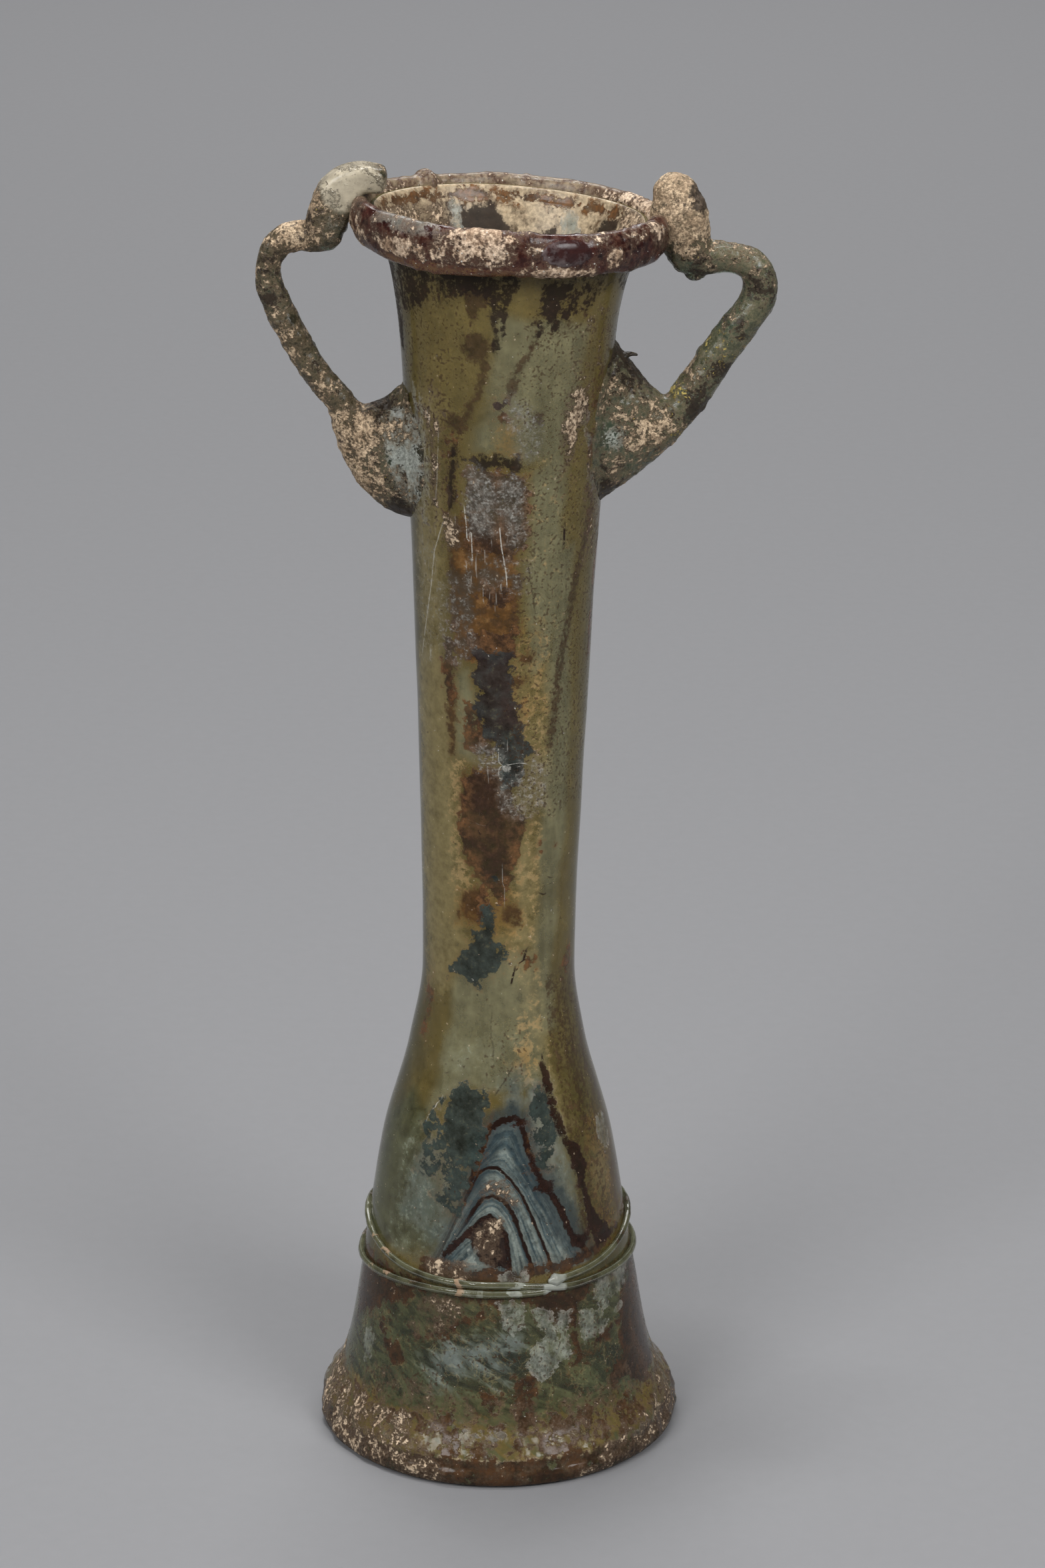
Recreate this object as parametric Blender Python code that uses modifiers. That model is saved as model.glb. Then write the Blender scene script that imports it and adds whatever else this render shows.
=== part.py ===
"""A blown glass flask with a flared foot, a tall neck and two handles.

The vessel is one hollow bubble of glass. Four trails of hot glass were added to it, and each is a piece
of its own: the coil wound round the lip, a handle on each side and the thread wound round the body.
Everything is in metres with +Z up. The foot stands on z = 0.

The pieces are first made upright and true round the Z axis. The settle function then gives them the
lean of the neck and the dip of the mouth, so all of them move together and keep their fit. Last, an
empty on the foot's axis carries them all to where the middle of the whole flask is over the origin.
"""

from dataclasses import dataclass
from math import ceil, copysign, cos, hypot, radians, sin, tau

import bmesh
import bpy
from mathutils import Vector

OBJECT_NAME = "glass_flask"

# Gap kept between pieces that touch
CLEARANCE = 0.0003

# Outside of the vessel, from the table up: each rise is the height above the level before it
FOOT_EDGE_RISE = 0.0018
FOOT_EDGE_RADIUS = 0.0265
FOOT_TOP_RISE = 0.0026
FOOT_TOP_RADIUS = 0.0257
ANKLE_RISE = 0.0034
ANKLE_RADIUS = 0.0233
SKIRT_RISE = 0.0044
SKIRT_RADIUS = 0.0218
GIRTH_RISE = 0.0158
GIRTH_RADIUS = 0.0191
SHOULDER_RISE = 0.0167
SHOULDER_RADIUS = 0.0164
THROAT_RISE = 0.0146
THROAT_RADIUS = 0.01245
WAIST_RISE = 0.0112
WAIST_RADIUS = 0.0108
NECK_RISE = 0.0383
NECK_RADIUS = 0.0118
COLLAR_RISE = 0.0535
COLLAR_RADIUS = 0.01474
FLARE_RISE = 0.0082
FLARE_RADIUS = 0.0159
LIP_RISE = 0.0080
LIP_RADIUS = 0.0189

# Inside and underside of the vessel
WALL = 0.0020
LIP_WALL = 0.0011
BASE_THICKNESS = 0.0030
FLOOR_CORNER = 0.0026
KICK_HEIGHT = 0.0024
STANDING_RING_OUTER = 0.0246
STANDING_RING_INNER = 0.0212

# How the soft glass settled: the neck leans to the right, the mouth dips to the right and is
# drawn out toward the handles, so its depth from front to back is a share of its width
LEAN_PER_HEIGHT = 0.0155
LEAN_START = 0.060
MOUTH_DIP = 0.066
DIP_LENGTH = 0.0130
MOUTH_DEPTH_SHARE = 0.90

# Coil round the lip
COIL_THICKNESS = 0.0025
COIL_HEIGHT = 0.0058
COIL_DROP = 0.0009

# Thread round the body: two turns that start at a blob on the front
THREAD_THICKNESS = 0.0008
THREAD_HEIGHT = 0.0012
THREAD_LEVEL = 0.0288
THREAD_STEP_DOWN = 0.0013
THREAD_START = 25.0
THREAD_END = 722.0
FIRST_TURN_LIFT = 0.0034
SECOND_TURN_DROP = 0.0024
TURN_SWING_SPAN = 1.1
STEP_DOWN_START = 362.0
STEP_DOWN_DEGREES = 34.0
THREAD_END_TAPER = 0.55
THREAD_TAPER_SHARE = 0.083

# Left handle, measured from the neck's surface and from the middle of its pad
LEFT_PAD_DROP = 0.0315
LEFT_PAD_ABOVE = 0.0090
LEFT_PAD_BELOW = 0.0098
LEFT_PAD_DEPTH = 0.0098
LEFT_ROD_THICKNESS = 0.0038
LEFT_REACH = 0.0189
LEFT_FOLD_SIZE = 0.0100
LEFT_FOLD_DEPTH = 0.0060

# Right handle, which is thicker
RIGHT_PAD_DROP = 0.0273
RIGHT_PAD_ABOVE = 0.0111
RIGHT_PAD_BELOW = 0.0112
RIGHT_PAD_DEPTH = 0.0112
RIGHT_ROD_THICKNESS = 0.0051
RIGHT_REACH = 0.0201
RIGHT_FOLD_SIZE = 0.0100
RIGHT_FOLD_DEPTH = 0.0072

# Fold of each handle: a strap with rounded corners, where 2 would be a plain oval
FOLD_SQUARENESS = 2.6

# Fineness of the facets, with the angles in degrees
TURNED_STEPS = 40
OUTSIDE_STEP = 0.0080
INSIDE_STEP = 0.0140
SWEEP_SIDES = 10
COIL_SIDES = 12
THREAD_SIDES = 6
THREAD_DEGREES = 8.0
FLOOR_STEPS = 3
KICK_STEPS = 4
BEND_STEPS = 3
PAD_STEPS = 6
ROD_STEPS = 3
FOLD_STEPS = 2
DOME_ANGLES = (35.0, 65.0, 84.0)
SHARP_ANGLE = 50.0
WELD_DISTANCE = 0.00001

OUTER_STATIONS = (
    (FOOT_EDGE_RISE, FOOT_EDGE_RADIUS),
    (FOOT_TOP_RISE, FOOT_TOP_RADIUS),
    (ANKLE_RISE, ANKLE_RADIUS),
    (SKIRT_RISE, SKIRT_RADIUS),
    (GIRTH_RISE, GIRTH_RADIUS),
    (SHOULDER_RISE, SHOULDER_RADIUS),
    (THROAT_RISE, THROAT_RADIUS),
    (WAIST_RISE, WAIST_RADIUS),
    (NECK_RISE, NECK_RADIUS),
    (COLLAR_RISE, COLLAR_RADIUS),
    (FLARE_RISE, FLARE_RADIUS),
    (LIP_RISE, LIP_RADIUS),
)


@dataclass
class Slice:
    """One cross-section of a swept form: an oval, or a rounded box where squareness is over 2."""

    centre: Vector
    across: Vector
    half_width: float
    half_depth: float
    squareness: float = 2.0


@dataclass
class HandleForm:
    """The drawing of one handle. Route and fold points are shares of the named sizes."""

    name: str
    side: float
    pad_drop: float
    pad_above: float
    pad_below: float
    pad_depth: float
    rod_thickness: float
    reach: float
    heel: tuple
    crook: tuple
    route: tuple
    fold_size: float
    fold_depth: float
    fold: tuple


class Profile:
    """A smooth curve of radius against height that never overshoots its stations."""

    def __init__(self, stations):
        self.heights = []
        self.radii = []
        height = 0.0
        for rise, radius in stations:
            height += rise
            self.heights.append(height)
            self.radii.append(radius)
        self.slopes = self._slopes()

    def _slopes(self):
        count = len(self.heights)
        steps = [self.heights[i + 1] - self.heights[i] for i in range(count - 1)]
        secants = [(self.radii[i + 1] - self.radii[i]) / steps[i] for i in range(count - 1)]
        slopes = [secants[0]]
        for before, after in zip(secants, secants[1:]):
            level = before * after <= 0.0
            slopes.append(0.0 if level else 2.0 * before * after / (before + after))
        slopes.append(secants[-1])
        return slopes

    def at(self, height):
        """Returns the radius and the slope at a height, held at the ends."""
        low = 0
        while low < len(self.heights) - 2 and height > self.heights[low + 1]:
            low += 1
        span = self.heights[low + 1] - self.heights[low]
        t = min(1.0, max(0.0, (height - self.heights[low]) / span))
        first = self.radii[low]
        last = self.radii[low + 1]
        rise_in = self.slopes[low] * span
        rise_out = self.slopes[low + 1] * span
        change = last - first
        cubic = rise_in + rise_out - 2.0 * change
        square = 3.0 * change - 2.0 * rise_in - rise_out
        radius = first + t * (rise_in + t * (square + t * cubic))
        slope = (rise_in + t * (2.0 * square + 3.0 * t * cubic)) / span
        return radius, slope

    def radius(self, height):
        return self.at(height)[0]


OUTSIDE = Profile(OUTER_STATIONS)
LIP_LEVEL = OUTSIDE.heights[-1]
COIL_LEVEL = LIP_LEVEL - COIL_DROP
COIL_INNER = LIP_RADIUS + CLEARANCE
COIL_OUTER = COIL_INNER + COIL_THICKNESS


def mix(first, last, t):
    """Returns the value, or the point, a share t of the way from first to last."""
    return first + (last - first) * t


def ease(t):
    """Returns t held between 0 and 1 and smoothed at both ends."""
    t = min(1.0, max(0.0, t))
    return t * t * (3.0 - 2.0 * t)


def settle(point):
    """Moves a point of the upright form to where the leaning, dipping glass has it."""
    dip = ease((point.z - (LIP_LEVEL - LIP_RISE - FLARE_RISE)) / DIP_LENGTH)
    lean = LEAN_PER_HEIGHT * max(0.0, point.z - LEAN_START)
    depth = point.y * mix(1.0, MOUTH_DEPTH_SHARE, dip)
    return Vector((point.x + lean, depth, point.z - MOUTH_DIP * point.x * dip))


def named_collection(name):
    """Makes a collection in the scene and returns it."""
    collection = bpy.data.collections.new(name)
    bpy.context.scene.collection.children.link(collection)
    return collection


def glass_material(name, colour, roughness):
    """Makes the plain material of one piece."""
    material = bpy.data.materials.new(name)
    material.use_nodes = True
    shader = material.node_tree.nodes["Principled BSDF"]
    shader.inputs["Base Color"].default_value = (*colour, 1.0)
    shader.inputs["Roughness"].default_value = roughness
    shader.inputs["Metallic"].default_value = 0.0
    return material


def add_object(name, mesh, collection):
    """Links a new object for the mesh into the collection."""
    new = bpy.data.objects.new(name, mesh)
    collection.objects.link(new)
    return new


def settle_mesh(mesh):
    """Gives a mesh the lean and the dip of the settled glass, and smooth shading."""
    for vertex in mesh.vertices:
        vertex.co = settle(vertex.co)
    mesh.shade_smooth()
    mesh.set_sharp_from_angle(angle=radians(SHARP_ANGLE))


def turned(name, points, collection, closed=False):
    """Turns a profile of (radius, height) points about the axis and settles the result."""
    mesh = bpy.data.meshes.new(name)
    edges = [(i, i + 1) for i in range(len(points) - 1)]
    if closed:
        edges.append((len(points) - 1, 0))
    mesh.from_pydata([(radius, 0.0, height) for radius, height in points], edges, [])
    drawing = add_object(name + "_profile", mesh, collection)
    screw = drawing.modifiers.new("turn", "SCREW")
    screw.axis = "Z"
    screw.angle = tau
    screw.steps = TURNED_STEPS
    screw.render_steps = TURNED_STEPS
    screw.use_merge_vertices = True
    screw.merge_threshold = WELD_DISTANCE
    solid = add_object(name, evaluated_mesh(drawing), collection)
    bpy.data.objects.remove(drawing)
    settle_mesh(solid.data)
    return solid


def evaluated_mesh(source):
    """Returns a new mesh of the object with its modifiers applied."""
    graph = bpy.context.evaluated_depsgraph_get()
    return bpy.data.meshes.new_from_object(source.evaluated_get(graph))


def outside_points(first, last, step, offset=0.0):
    """Returns (radius, height) points up the outside, offset square to the surface."""
    points = []
    levels = [first]
    levels += [height for height in OUTSIDE.heights if first < height < last]
    levels.append(last)
    for low, high in zip(levels, levels[1:]):
        count = max(2, ceil((high - low) / step))
        for index in range(count):
            points.append(mix(low, high, index / count))
    points.append(last)
    placed = []
    for height in points:
        radius, slope = OUTSIDE.at(height)
        placed.append((radius + offset * hypot(1.0, slope), height))
    return placed


def arc(start, corner, end, count):
    """Returns the points between start and end of a curve that is drawn toward the corner."""
    points = []
    for index in range(1, count):
        t = index / count
        first = [mix(a, b, t) for a, b in zip(start, corner)]
        second = [mix(a, b, t) for a, b in zip(corner, end)]
        points.append(tuple(mix(a, b, t) for a, b in zip(first, second)))
    return points


def kick(radius):
    """Returns the height of the pushed-in underside at a radius."""
    share = min(1.0, radius / STANDING_RING_INNER)
    return KICK_HEIGHT * (1.0 - ease(share))


def wall_at(height):
    """Returns the thickness of the wall, which thins toward the lip."""
    t = (height - (LIP_LEVEL - LIP_RISE - FLARE_RISE)) / (LIP_RISE + FLARE_RISE)
    return mix(WALL, LIP_WALL, ease(t))


def vessel_points():
    """Returns the whole wall as one line: floor, inside, lip, outside, foot and underside."""
    corner_level = BASE_THICKNESS + FLOOR_CORNER
    inside = []
    for radius, height in outside_points(corner_level, LIP_LEVEL, INSIDE_STEP):
        slope = OUTSIDE.at(height)[1]
        inside.append((radius - wall_at(height) * hypot(1.0, slope), height))
    floor_edge = inside[0][0] - FLOOR_CORNER
    floor = [(0.0, BASE_THICKNESS + KICK_HEIGHT)]
    for index in range(1, FLOOR_STEPS + 1):
        radius = floor_edge * index / FLOOR_STEPS
        floor.append((radius, BASE_THICKNESS + kick(radius)))
    bend = arc(floor[-1], (inside[0][0], floor[-1][1]), inside[0], BEND_STEPS)
    outside = outside_points(FOOT_EDGE_RISE, LIP_LEVEL, OUTSIDE_STEP)
    lip_top = LIP_LEVEL + LIP_WALL / 2
    lip = [(mix(inside[-1][0], outside[-1][0], t), lip_top) for t in (0.3, 0.7)]
    ring = (STANDING_RING_OUTER, 0.0)
    edge = arc(outside[0], (outside[0][0], 0.0), ring, BEND_STEPS)
    underside = [ring, (STANDING_RING_INNER, 0.0)]
    for index in range(KICK_STEPS - 1, 0, -1):
        radius = STANDING_RING_INNER * index / KICK_STEPS
        underside.append((radius, kick(radius)))
    underside.append((0.0, KICK_HEIGHT))
    return floor + bend + inside + lip + outside[::-1] + edge + underside


def coil_points(grow=0.0, first=180, last=-150):
    """Returns the section of the lip coil, swollen by grow, over its outer side and down.

    The angles are in degrees, and 0 is the outermost point.
    """
    half_width = COIL_THICKNESS / 2 + grow
    half_height = COIL_HEIGHT / 2 + grow
    points = []
    for degrees in range(first, last - 1, -360 // COIL_SIDES):
        angle = radians(degrees)
        radius = COIL_INNER + COIL_THICKNESS / 2 + half_width * cos(angle)
        points.append((radius, COIL_LEVEL + half_height * sin(angle)))
    return points


def handle_space_points():
    """Returns the outline that the handles stay clear of: the vessel and its coil as one body."""
    crown = LIP_LEVEL + LIP_WALL / 2 + CLEARANCE
    over_coil = coil_points(CLEARANCE, first=120, last=-90)
    skin = outside_points(FOOT_EDGE_RISE, over_coil[-1][1], OUTSIDE_STEP, CLEARANCE)
    return [(0.0, crown), (COIL_INNER, crown)] + over_coil + skin[::-1] + [(0.0, skin[0][1])]


def rounded(slices, at_start, at_end):
    """Adds shrinking slices past the ends so that they close in a dome."""
    result = list(slices)
    for wanted, end, inner in ((at_start, 0, 1), (at_end, -1, -2)):
        if not wanted:
            continue
        last = slices[end]
        away = (last.centre - slices[inner].centre).normalized()
        reach = min(last.half_width, last.half_depth)
        extra = []
        for angle in DOME_ANGLES:
            turn = radians(angle)
            centre = last.centre + away * reach * sin(turn)
            width = last.half_width * cos(turn)
            depth = last.half_depth * cos(turn)
            extra.append(Slice(centre, last.across, width, depth, last.squareness))
        result = extra[::-1] + result if end == 0 else result + extra
    return result


def swept(name, slices, sides, collection):
    """Lofts a closed skin through the slices. Across and depth are square to the path."""
    form = bmesh.new()
    rings = []
    for index, cut in enumerate(slices):
        before = slices[max(0, index - 1)].centre
        after = slices[min(len(slices) - 1, index + 1)].centre
        depth_way = (after - before).cross(cut.across).normalized()
        ring = []
        for side in range(sides):
            angle = tau * side / sides
            power = 2.0 / cut.squareness
            wide = copysign(abs(cos(angle)) ** power, cos(angle)) * cut.half_width
            deep = copysign(abs(sin(angle)) ** power, sin(angle)) * cut.half_depth
            ring.append(form.verts.new(cut.centre + cut.across * wide + depth_way * deep))
        rings.append(ring)
    for low, high in zip(rings, rings[1:]):
        for side in range(sides):
            after = (side + 1) % sides
            form.faces.new((low[side], low[after], high[after], high[side]))
    form.faces.new(rings[0][::-1])
    form.faces.new(rings[-1])
    bmesh.ops.recalc_face_normals(form, faces=form.faces)
    mesh = bpy.data.meshes.new(name)
    form.to_mesh(mesh)
    form.free()
    return add_object(name, mesh, collection)


def smooth_route(points, count):
    """Returns count points to each span of a smooth line through tuples of any length."""
    route = []
    for index in range(len(points) - 1):
        a = points[max(0, index - 1)]
        b = points[index]
        c = points[index + 1]
        d = points[min(len(points) - 1, index + 2)]
        for step in range(count):
            t = step / count
            route.append(tuple(
                0.5 * (2 * q + (r - p) * t + (2 * p - 5 * q + 4 * r - s) * t * t
                       + (3 * q - p - 3 * r + s) * t ** 3)
                for p, q, r, s in zip(a, b, c, d)
            ))
    route.append(tuple(points[-1]))
    return route


def route_slices(points, squareness=2.0):
    """Makes slices square to a route of (x, z, half width, half depth) points."""
    slices = []
    for index, (x, z, width, depth) in enumerate(points):
        before = points[max(0, index - 1)]
        after = points[min(len(points) - 1, index + 1)]
        along = Vector((after[0] - before[0], 0.0, after[1] - before[1]))
        across = Vector((-along.z, 0.0, along.x)).normalized()
        slices.append(Slice(Vector((x, 0.0, z)), across, width, depth, squareness))
    return slices


def pad_slices(form, foot):
    """Makes the slices of the pad: from inside the wall out to the foot of the rod."""
    middle = COIL_LEVEL - form.pad_drop
    skin = OUTSIDE.radius(middle)
    top = middle + form.pad_above
    bottom = middle - form.pad_below
    neck_top = (form.side * OUTSIDE.radius(top), top)
    neck_bottom = (form.side * OUTSIDE.radius(bottom), bottom)
    heel = (form.side * (skin + form.heel[0] * form.reach), middle + form.heel[1] * form.pad_below)
    crook = (form.side * (skin + form.crook[0] * form.reach), middle + form.crook[1] * form.pad_above)
    upper = foot.centre + foot.across * foot.half_width
    lower = foot.centre - foot.across * foot.half_width
    if abs(upper.x) > abs(lower.x):
        upper, lower = lower, upper
    above = [neck_top] + arc(neck_top, crook, (upper.x, upper.z), PAD_STEPS)
    below = [neck_bottom] + arc(neck_bottom, heel, (lower.x, lower.z), PAD_STEPS)
    slices = []
    for index, (high, low) in enumerate(zip(above, below)):
        t = 1.0 - index / PAD_STEPS
        span = Vector((high[0] - low[0], 0.0, high[1] - low[1]))
        centre = Vector(((high[0] + low[0]) / 2, 0.0, (high[1] + low[1]) / 2))
        depth = mix(foot.half_depth, form.pad_depth / 2, t ** 1.5)
        slices.append(Slice(centre, span.normalized(), span.length / 2, depth))
    root = slices[0]
    inward = Vector((-form.side * 2.0 * WALL, 0.0, 0.0))
    slices.insert(0, Slice(root.centre + inward, root.across, root.half_width, root.half_depth))
    return slices


def handle(form, collection, space, material):
    """Builds one handle: pad, rod and arm as one sweep, joined to the fold over the lip."""
    middle = COIL_LEVEL - form.pad_drop
    skin = OUTSIDE.radius(middle)
    rod = form.rod_thickness / 2
    route = []
    for out, up, thick in form.route:
        x = form.side * (skin + out * form.reach)
        route.append((x, middle + up * form.pad_drop, rod * thick, rod * thick))
    rod_slices = route_slices(smooth_route(route, ROD_STEPS))
    slices = pad_slices(form, rod_slices[0])
    for cut in rod_slices:
        if cut.across.dot(slices[-1].across) < 0.0:
            cut.across = -cut.across
        slices.append(cut)
    rod_body = swept(form.name, rounded(slices, False, True), SWEEP_SIDES, collection)
    fold_route = []
    for out, up, thick, deep in form.fold:
        x = form.side * (COIL_OUTER + out * form.fold_size)
        z = COIL_LEVEL + up * form.fold_size
        fold_route.append((x, z, thick * form.fold_size / 2, deep * form.fold_depth / 2))
    fold_slices = route_slices(smooth_route(fold_route, FOLD_STEPS), FOLD_SQUARENESS)
    fold_body = swept(form.name + "_fold", rounded(fold_slices, True, True), SWEEP_SIDES, collection)
    settle_mesh(rod_body.data)
    settle_mesh(fold_body.data)
    boolean(rod_body, fold_body, "UNION")
    rod_body.data = evaluated_mesh(rod_body)
    rod_body.modifiers.clear()
    bpy.data.objects.remove(fold_body)
    boolean(rod_body, space, "DIFFERENCE")
    rod_body.data.materials.clear()
    rod_body.data.materials.append(material)
    return rod_body


def boolean(target, other, operation):
    """Adds a Boolean modifier to the target."""
    step = target.modifiers.new(operation.lower() + "_" + other.name, "BOOLEAN")
    step.operation = operation
    step.solver = "EXACT"
    step.object = other


def thread(collection, material):
    """Winds the thread round the body, resting on the outside of the vessel."""
    count = ceil((THREAD_END - THREAD_START) / THREAD_DEGREES)
    slices = []
    for index in range(count + 1):
        t = index / count
        degrees = mix(THREAD_START, THREAD_END, t)
        angle = radians(degrees)
        swing = FIRST_TURN_LIFT
        if degrees > 360.0:
            swing = -SECOND_TURN_DROP * (degrees - 360.0) / 360.0
        step_down = THREAD_STEP_DOWN * ease((degrees - STEP_DOWN_START) / STEP_DOWN_DEGREES)
        height = THREAD_LEVEL - step_down + swing * ease((1.0 - cos(angle)) / TURN_SWING_SPAN)
        radius, slope = OUTSIDE.at(height)
        radius += (CLEARANCE + THREAD_THICKNESS / 2) * hypot(1.0, slope)
        outward = Vector((sin(angle), -cos(angle), 0.0))
        centre = outward * radius + Vector((0.0, 0.0, height))
        up = Vector((outward.x * slope, outward.y * slope, 1.0)).normalized()
        taper = mix(THREAD_END_TAPER, 1.0, ease(min(t, 1.0 - t) / THREAD_TAPER_SHARE))
        width = THREAD_HEIGHT / 2 * taper
        slices.append(Slice(centre, up, width, THREAD_THICKNESS / 2))
    body = swept("body_thread", slices, THREAD_SIDES, collection)
    settle_mesh(body.data)
    body.data.materials.append(material)
    return body


LEFT_HANDLE = HandleForm(
    name="handle_left",
    side=-1.0,
    pad_drop=LEFT_PAD_DROP,
    pad_above=LEFT_PAD_ABOVE,
    pad_below=LEFT_PAD_BELOW,
    pad_depth=LEFT_PAD_DEPTH,
    rod_thickness=LEFT_ROD_THICKNESS,
    reach=LEFT_REACH,
    heel=(0.41, -0.83),
    crook=(0.32, 0.44),
    route=(
        (0.489, 0.219, 1.05),
        (0.649, 0.338, 0.97),
        (0.776, 0.458, 1.03),
        (0.886, 0.577, 1.05),
        (0.968, 0.672, 1.00),
        (1.000, 0.758, 0.90),
        (0.968, 0.818, 0.90),
        (0.893, 0.865, 0.90),
        (0.795, 0.886, 0.95),
        (0.623, 0.890, 1.00),
    ),
    fold_size=LEFT_FOLD_SIZE,
    fold_depth=LEFT_FOLD_DEPTH,
    fold=(
        (0.30, -0.30, 0.44, 0.80),
        (0.29, -0.18, 0.54, 0.90),
        (0.24, 0.02, 0.56, 0.96),
        (0.15, 0.22, 0.56, 1.00),
        (0.02, 0.38, 0.48, 1.00),
        (-0.14, 0.47, 0.40, 1.00),
        (-0.30, 0.48, 0.32, 0.90),
    ),
)

RIGHT_HANDLE = HandleForm(
    name="handle_right",
    side=1.0,
    pad_drop=RIGHT_PAD_DROP,
    pad_above=RIGHT_PAD_ABOVE,
    pad_below=RIGHT_PAD_BELOW,
    pad_depth=RIGHT_PAD_DEPTH,
    rod_thickness=RIGHT_ROD_THICKNESS,
    reach=RIGHT_REACH,
    heel=(0.35, -0.56),
    crook=(0.40, 0.05),
    route=(
        (0.528, 0.106, 1.07),
        (0.608, 0.190, 1.00),
        (0.728, 0.330, 0.97),
        (0.850, 0.459, 1.00),
        (0.952, 0.586, 1.02),
        (1.000, 0.709, 0.95),
        (0.990, 0.803, 0.95),
        (0.923, 0.867, 0.95),
        (0.797, 0.888, 0.86),
        (0.669, 0.886, 0.95),
        (0.542, 0.882, 0.95),
    ),
    fold_size=RIGHT_FOLD_SIZE,
    fold_depth=RIGHT_FOLD_DEPTH,
    fold=(
        (0.06, 0.51, 0.62, 0.86),
        (0.09, 0.37, 0.76, 1.00),
        (0.145, 0.12, 0.74, 1.00),
        (0.23, -0.15, 0.64, 0.86),
        (0.30, -0.38, 0.50, 0.72),
        (0.34, -0.49, 0.34, 0.46),
    ),
)


def middle_of(collection):
    """Returns the middle of the box round the finished shapes of a collection, seen from above."""
    across = []
    along = []
    for piece in collection.objects:
        corners = [vertex.co for vertex in evaluated_mesh(piece).vertices]
        across += [corner.x for corner in corners]
        along += [corner.y for corner in corners]
    return (min(across) + max(across)) / 2, (min(along) + max(along)) / 2


def stand_on_origin(pieces, tools):
    """Hangs everything from the foot's axis and sets the middle of the whole flask over the origin."""
    middle = middle_of(pieces)
    foot_axis = bpy.data.objects.new("foot_axis", None)
    for item in list(pieces.objects) + list(tools.objects):
        item.parent = foot_axis
    pieces.objects.link(foot_axis)
    foot_axis.location = (-middle[0], -middle[1], 0.0)


def build():
    """Clears the scene and builds every piece."""
    for old in list(bpy.data.objects):
        bpy.data.objects.remove(old)
    pieces = named_collection(OBJECT_NAME)
    tools = named_collection("cutters")

    vessel = turned("vessel", vessel_points(), pieces)
    vessel.data.materials.append(glass_material("olive_glass", (0.36, 0.35, 0.20), 0.35))

    coil = turned("rim_coil", coil_points(), pieces, closed=True)
    coil.data.materials.append(glass_material("aubergine_glass", (0.13, 0.06, 0.06), 0.40))

    thread(pieces, glass_material("green_thread_glass", (0.35, 0.37, 0.24), 0.30))

    space = turned("handle_space", handle_space_points(), tools)
    space.hide_render = True
    space.display_type = "WIRE"

    handle(LEFT_HANDLE, pieces, space, glass_material("blue_green_glass", (0.22, 0.27, 0.22), 0.45))
    handle(RIGHT_HANDLE, pieces, space, glass_material("teal_glass", (0.19, 0.27, 0.24), 0.45))

    stand_on_origin(pieces, tools)


build()
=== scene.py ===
"""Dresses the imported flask: weathered olive glass, a dark lip coil, a thread and two crusted handles.

Forms are worked out in millimetres, upright and true round the foot's axis. The settle step gives them
the lean of the neck and the dip of the mouth, and the place step sets them in the frame's metres.
A turn is in degrees round the foot's axis, 0 at the front and 90 at the right. A level is a height in
millimetres above the table, on the upright form.
"""

import logging
import math
from collections.abc import Callable
from dataclasses import dataclass
from enum import Enum

import bmesh
import bpy
import numpy as np
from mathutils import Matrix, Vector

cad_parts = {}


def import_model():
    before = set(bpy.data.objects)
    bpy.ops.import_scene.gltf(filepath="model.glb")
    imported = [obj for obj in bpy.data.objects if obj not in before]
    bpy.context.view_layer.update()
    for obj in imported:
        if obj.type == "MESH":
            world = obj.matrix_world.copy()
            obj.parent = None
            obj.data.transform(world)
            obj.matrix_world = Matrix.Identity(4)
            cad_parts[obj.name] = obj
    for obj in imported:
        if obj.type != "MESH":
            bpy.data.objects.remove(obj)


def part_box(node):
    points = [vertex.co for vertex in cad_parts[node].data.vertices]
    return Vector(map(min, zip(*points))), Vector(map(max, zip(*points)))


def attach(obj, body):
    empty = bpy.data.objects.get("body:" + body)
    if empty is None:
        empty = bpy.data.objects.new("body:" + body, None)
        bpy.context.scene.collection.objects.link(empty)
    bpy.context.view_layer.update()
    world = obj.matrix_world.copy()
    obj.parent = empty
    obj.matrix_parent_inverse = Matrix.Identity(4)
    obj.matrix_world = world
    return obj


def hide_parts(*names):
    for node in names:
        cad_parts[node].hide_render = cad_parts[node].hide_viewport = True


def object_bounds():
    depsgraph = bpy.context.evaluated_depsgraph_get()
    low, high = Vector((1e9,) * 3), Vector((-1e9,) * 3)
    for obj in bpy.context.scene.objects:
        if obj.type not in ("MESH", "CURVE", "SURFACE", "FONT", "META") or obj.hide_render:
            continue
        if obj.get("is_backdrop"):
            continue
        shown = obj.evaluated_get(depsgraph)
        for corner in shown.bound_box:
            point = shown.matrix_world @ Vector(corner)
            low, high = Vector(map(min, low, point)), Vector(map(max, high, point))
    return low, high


LOG = logging.getLogger("flask")
METRES_PER_MM = 0.001
FAR = 6.0
FULL_TURN = 360.0
HALF_TURN = 180.0
GLASS_IOR = 1.5
DEPOSIT_IOR = 1.36

Colour = tuple[float, float, float]


class Coat(Enum):
    """A deposit or tone of the weathered skin. Each value ends the name of a point attribute."""

    HAZE = "haze"
    OCHRE = "ochre"
    CREAM = "cream"
    RUST = "rust"
    FILM = "film"
    INK = "ink"
    BLUE = "blue"
    GREEN = "green"
    SEAM = "seam"
    SOOT = "soot"
    FROST = "frost"
    PALE = "pale"
    CRUST = "crust"
    SCRATCH = "scratch"
    SPECK = "speck"
    FLECK = "fleck"
    MIST = "mist"
    # Brown blurred stains, and one broad patch of painted shade on the right of the body.
    SHADOW = "shadow"
    DUST = "dust"
    RIDGE = "ridge"


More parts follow.
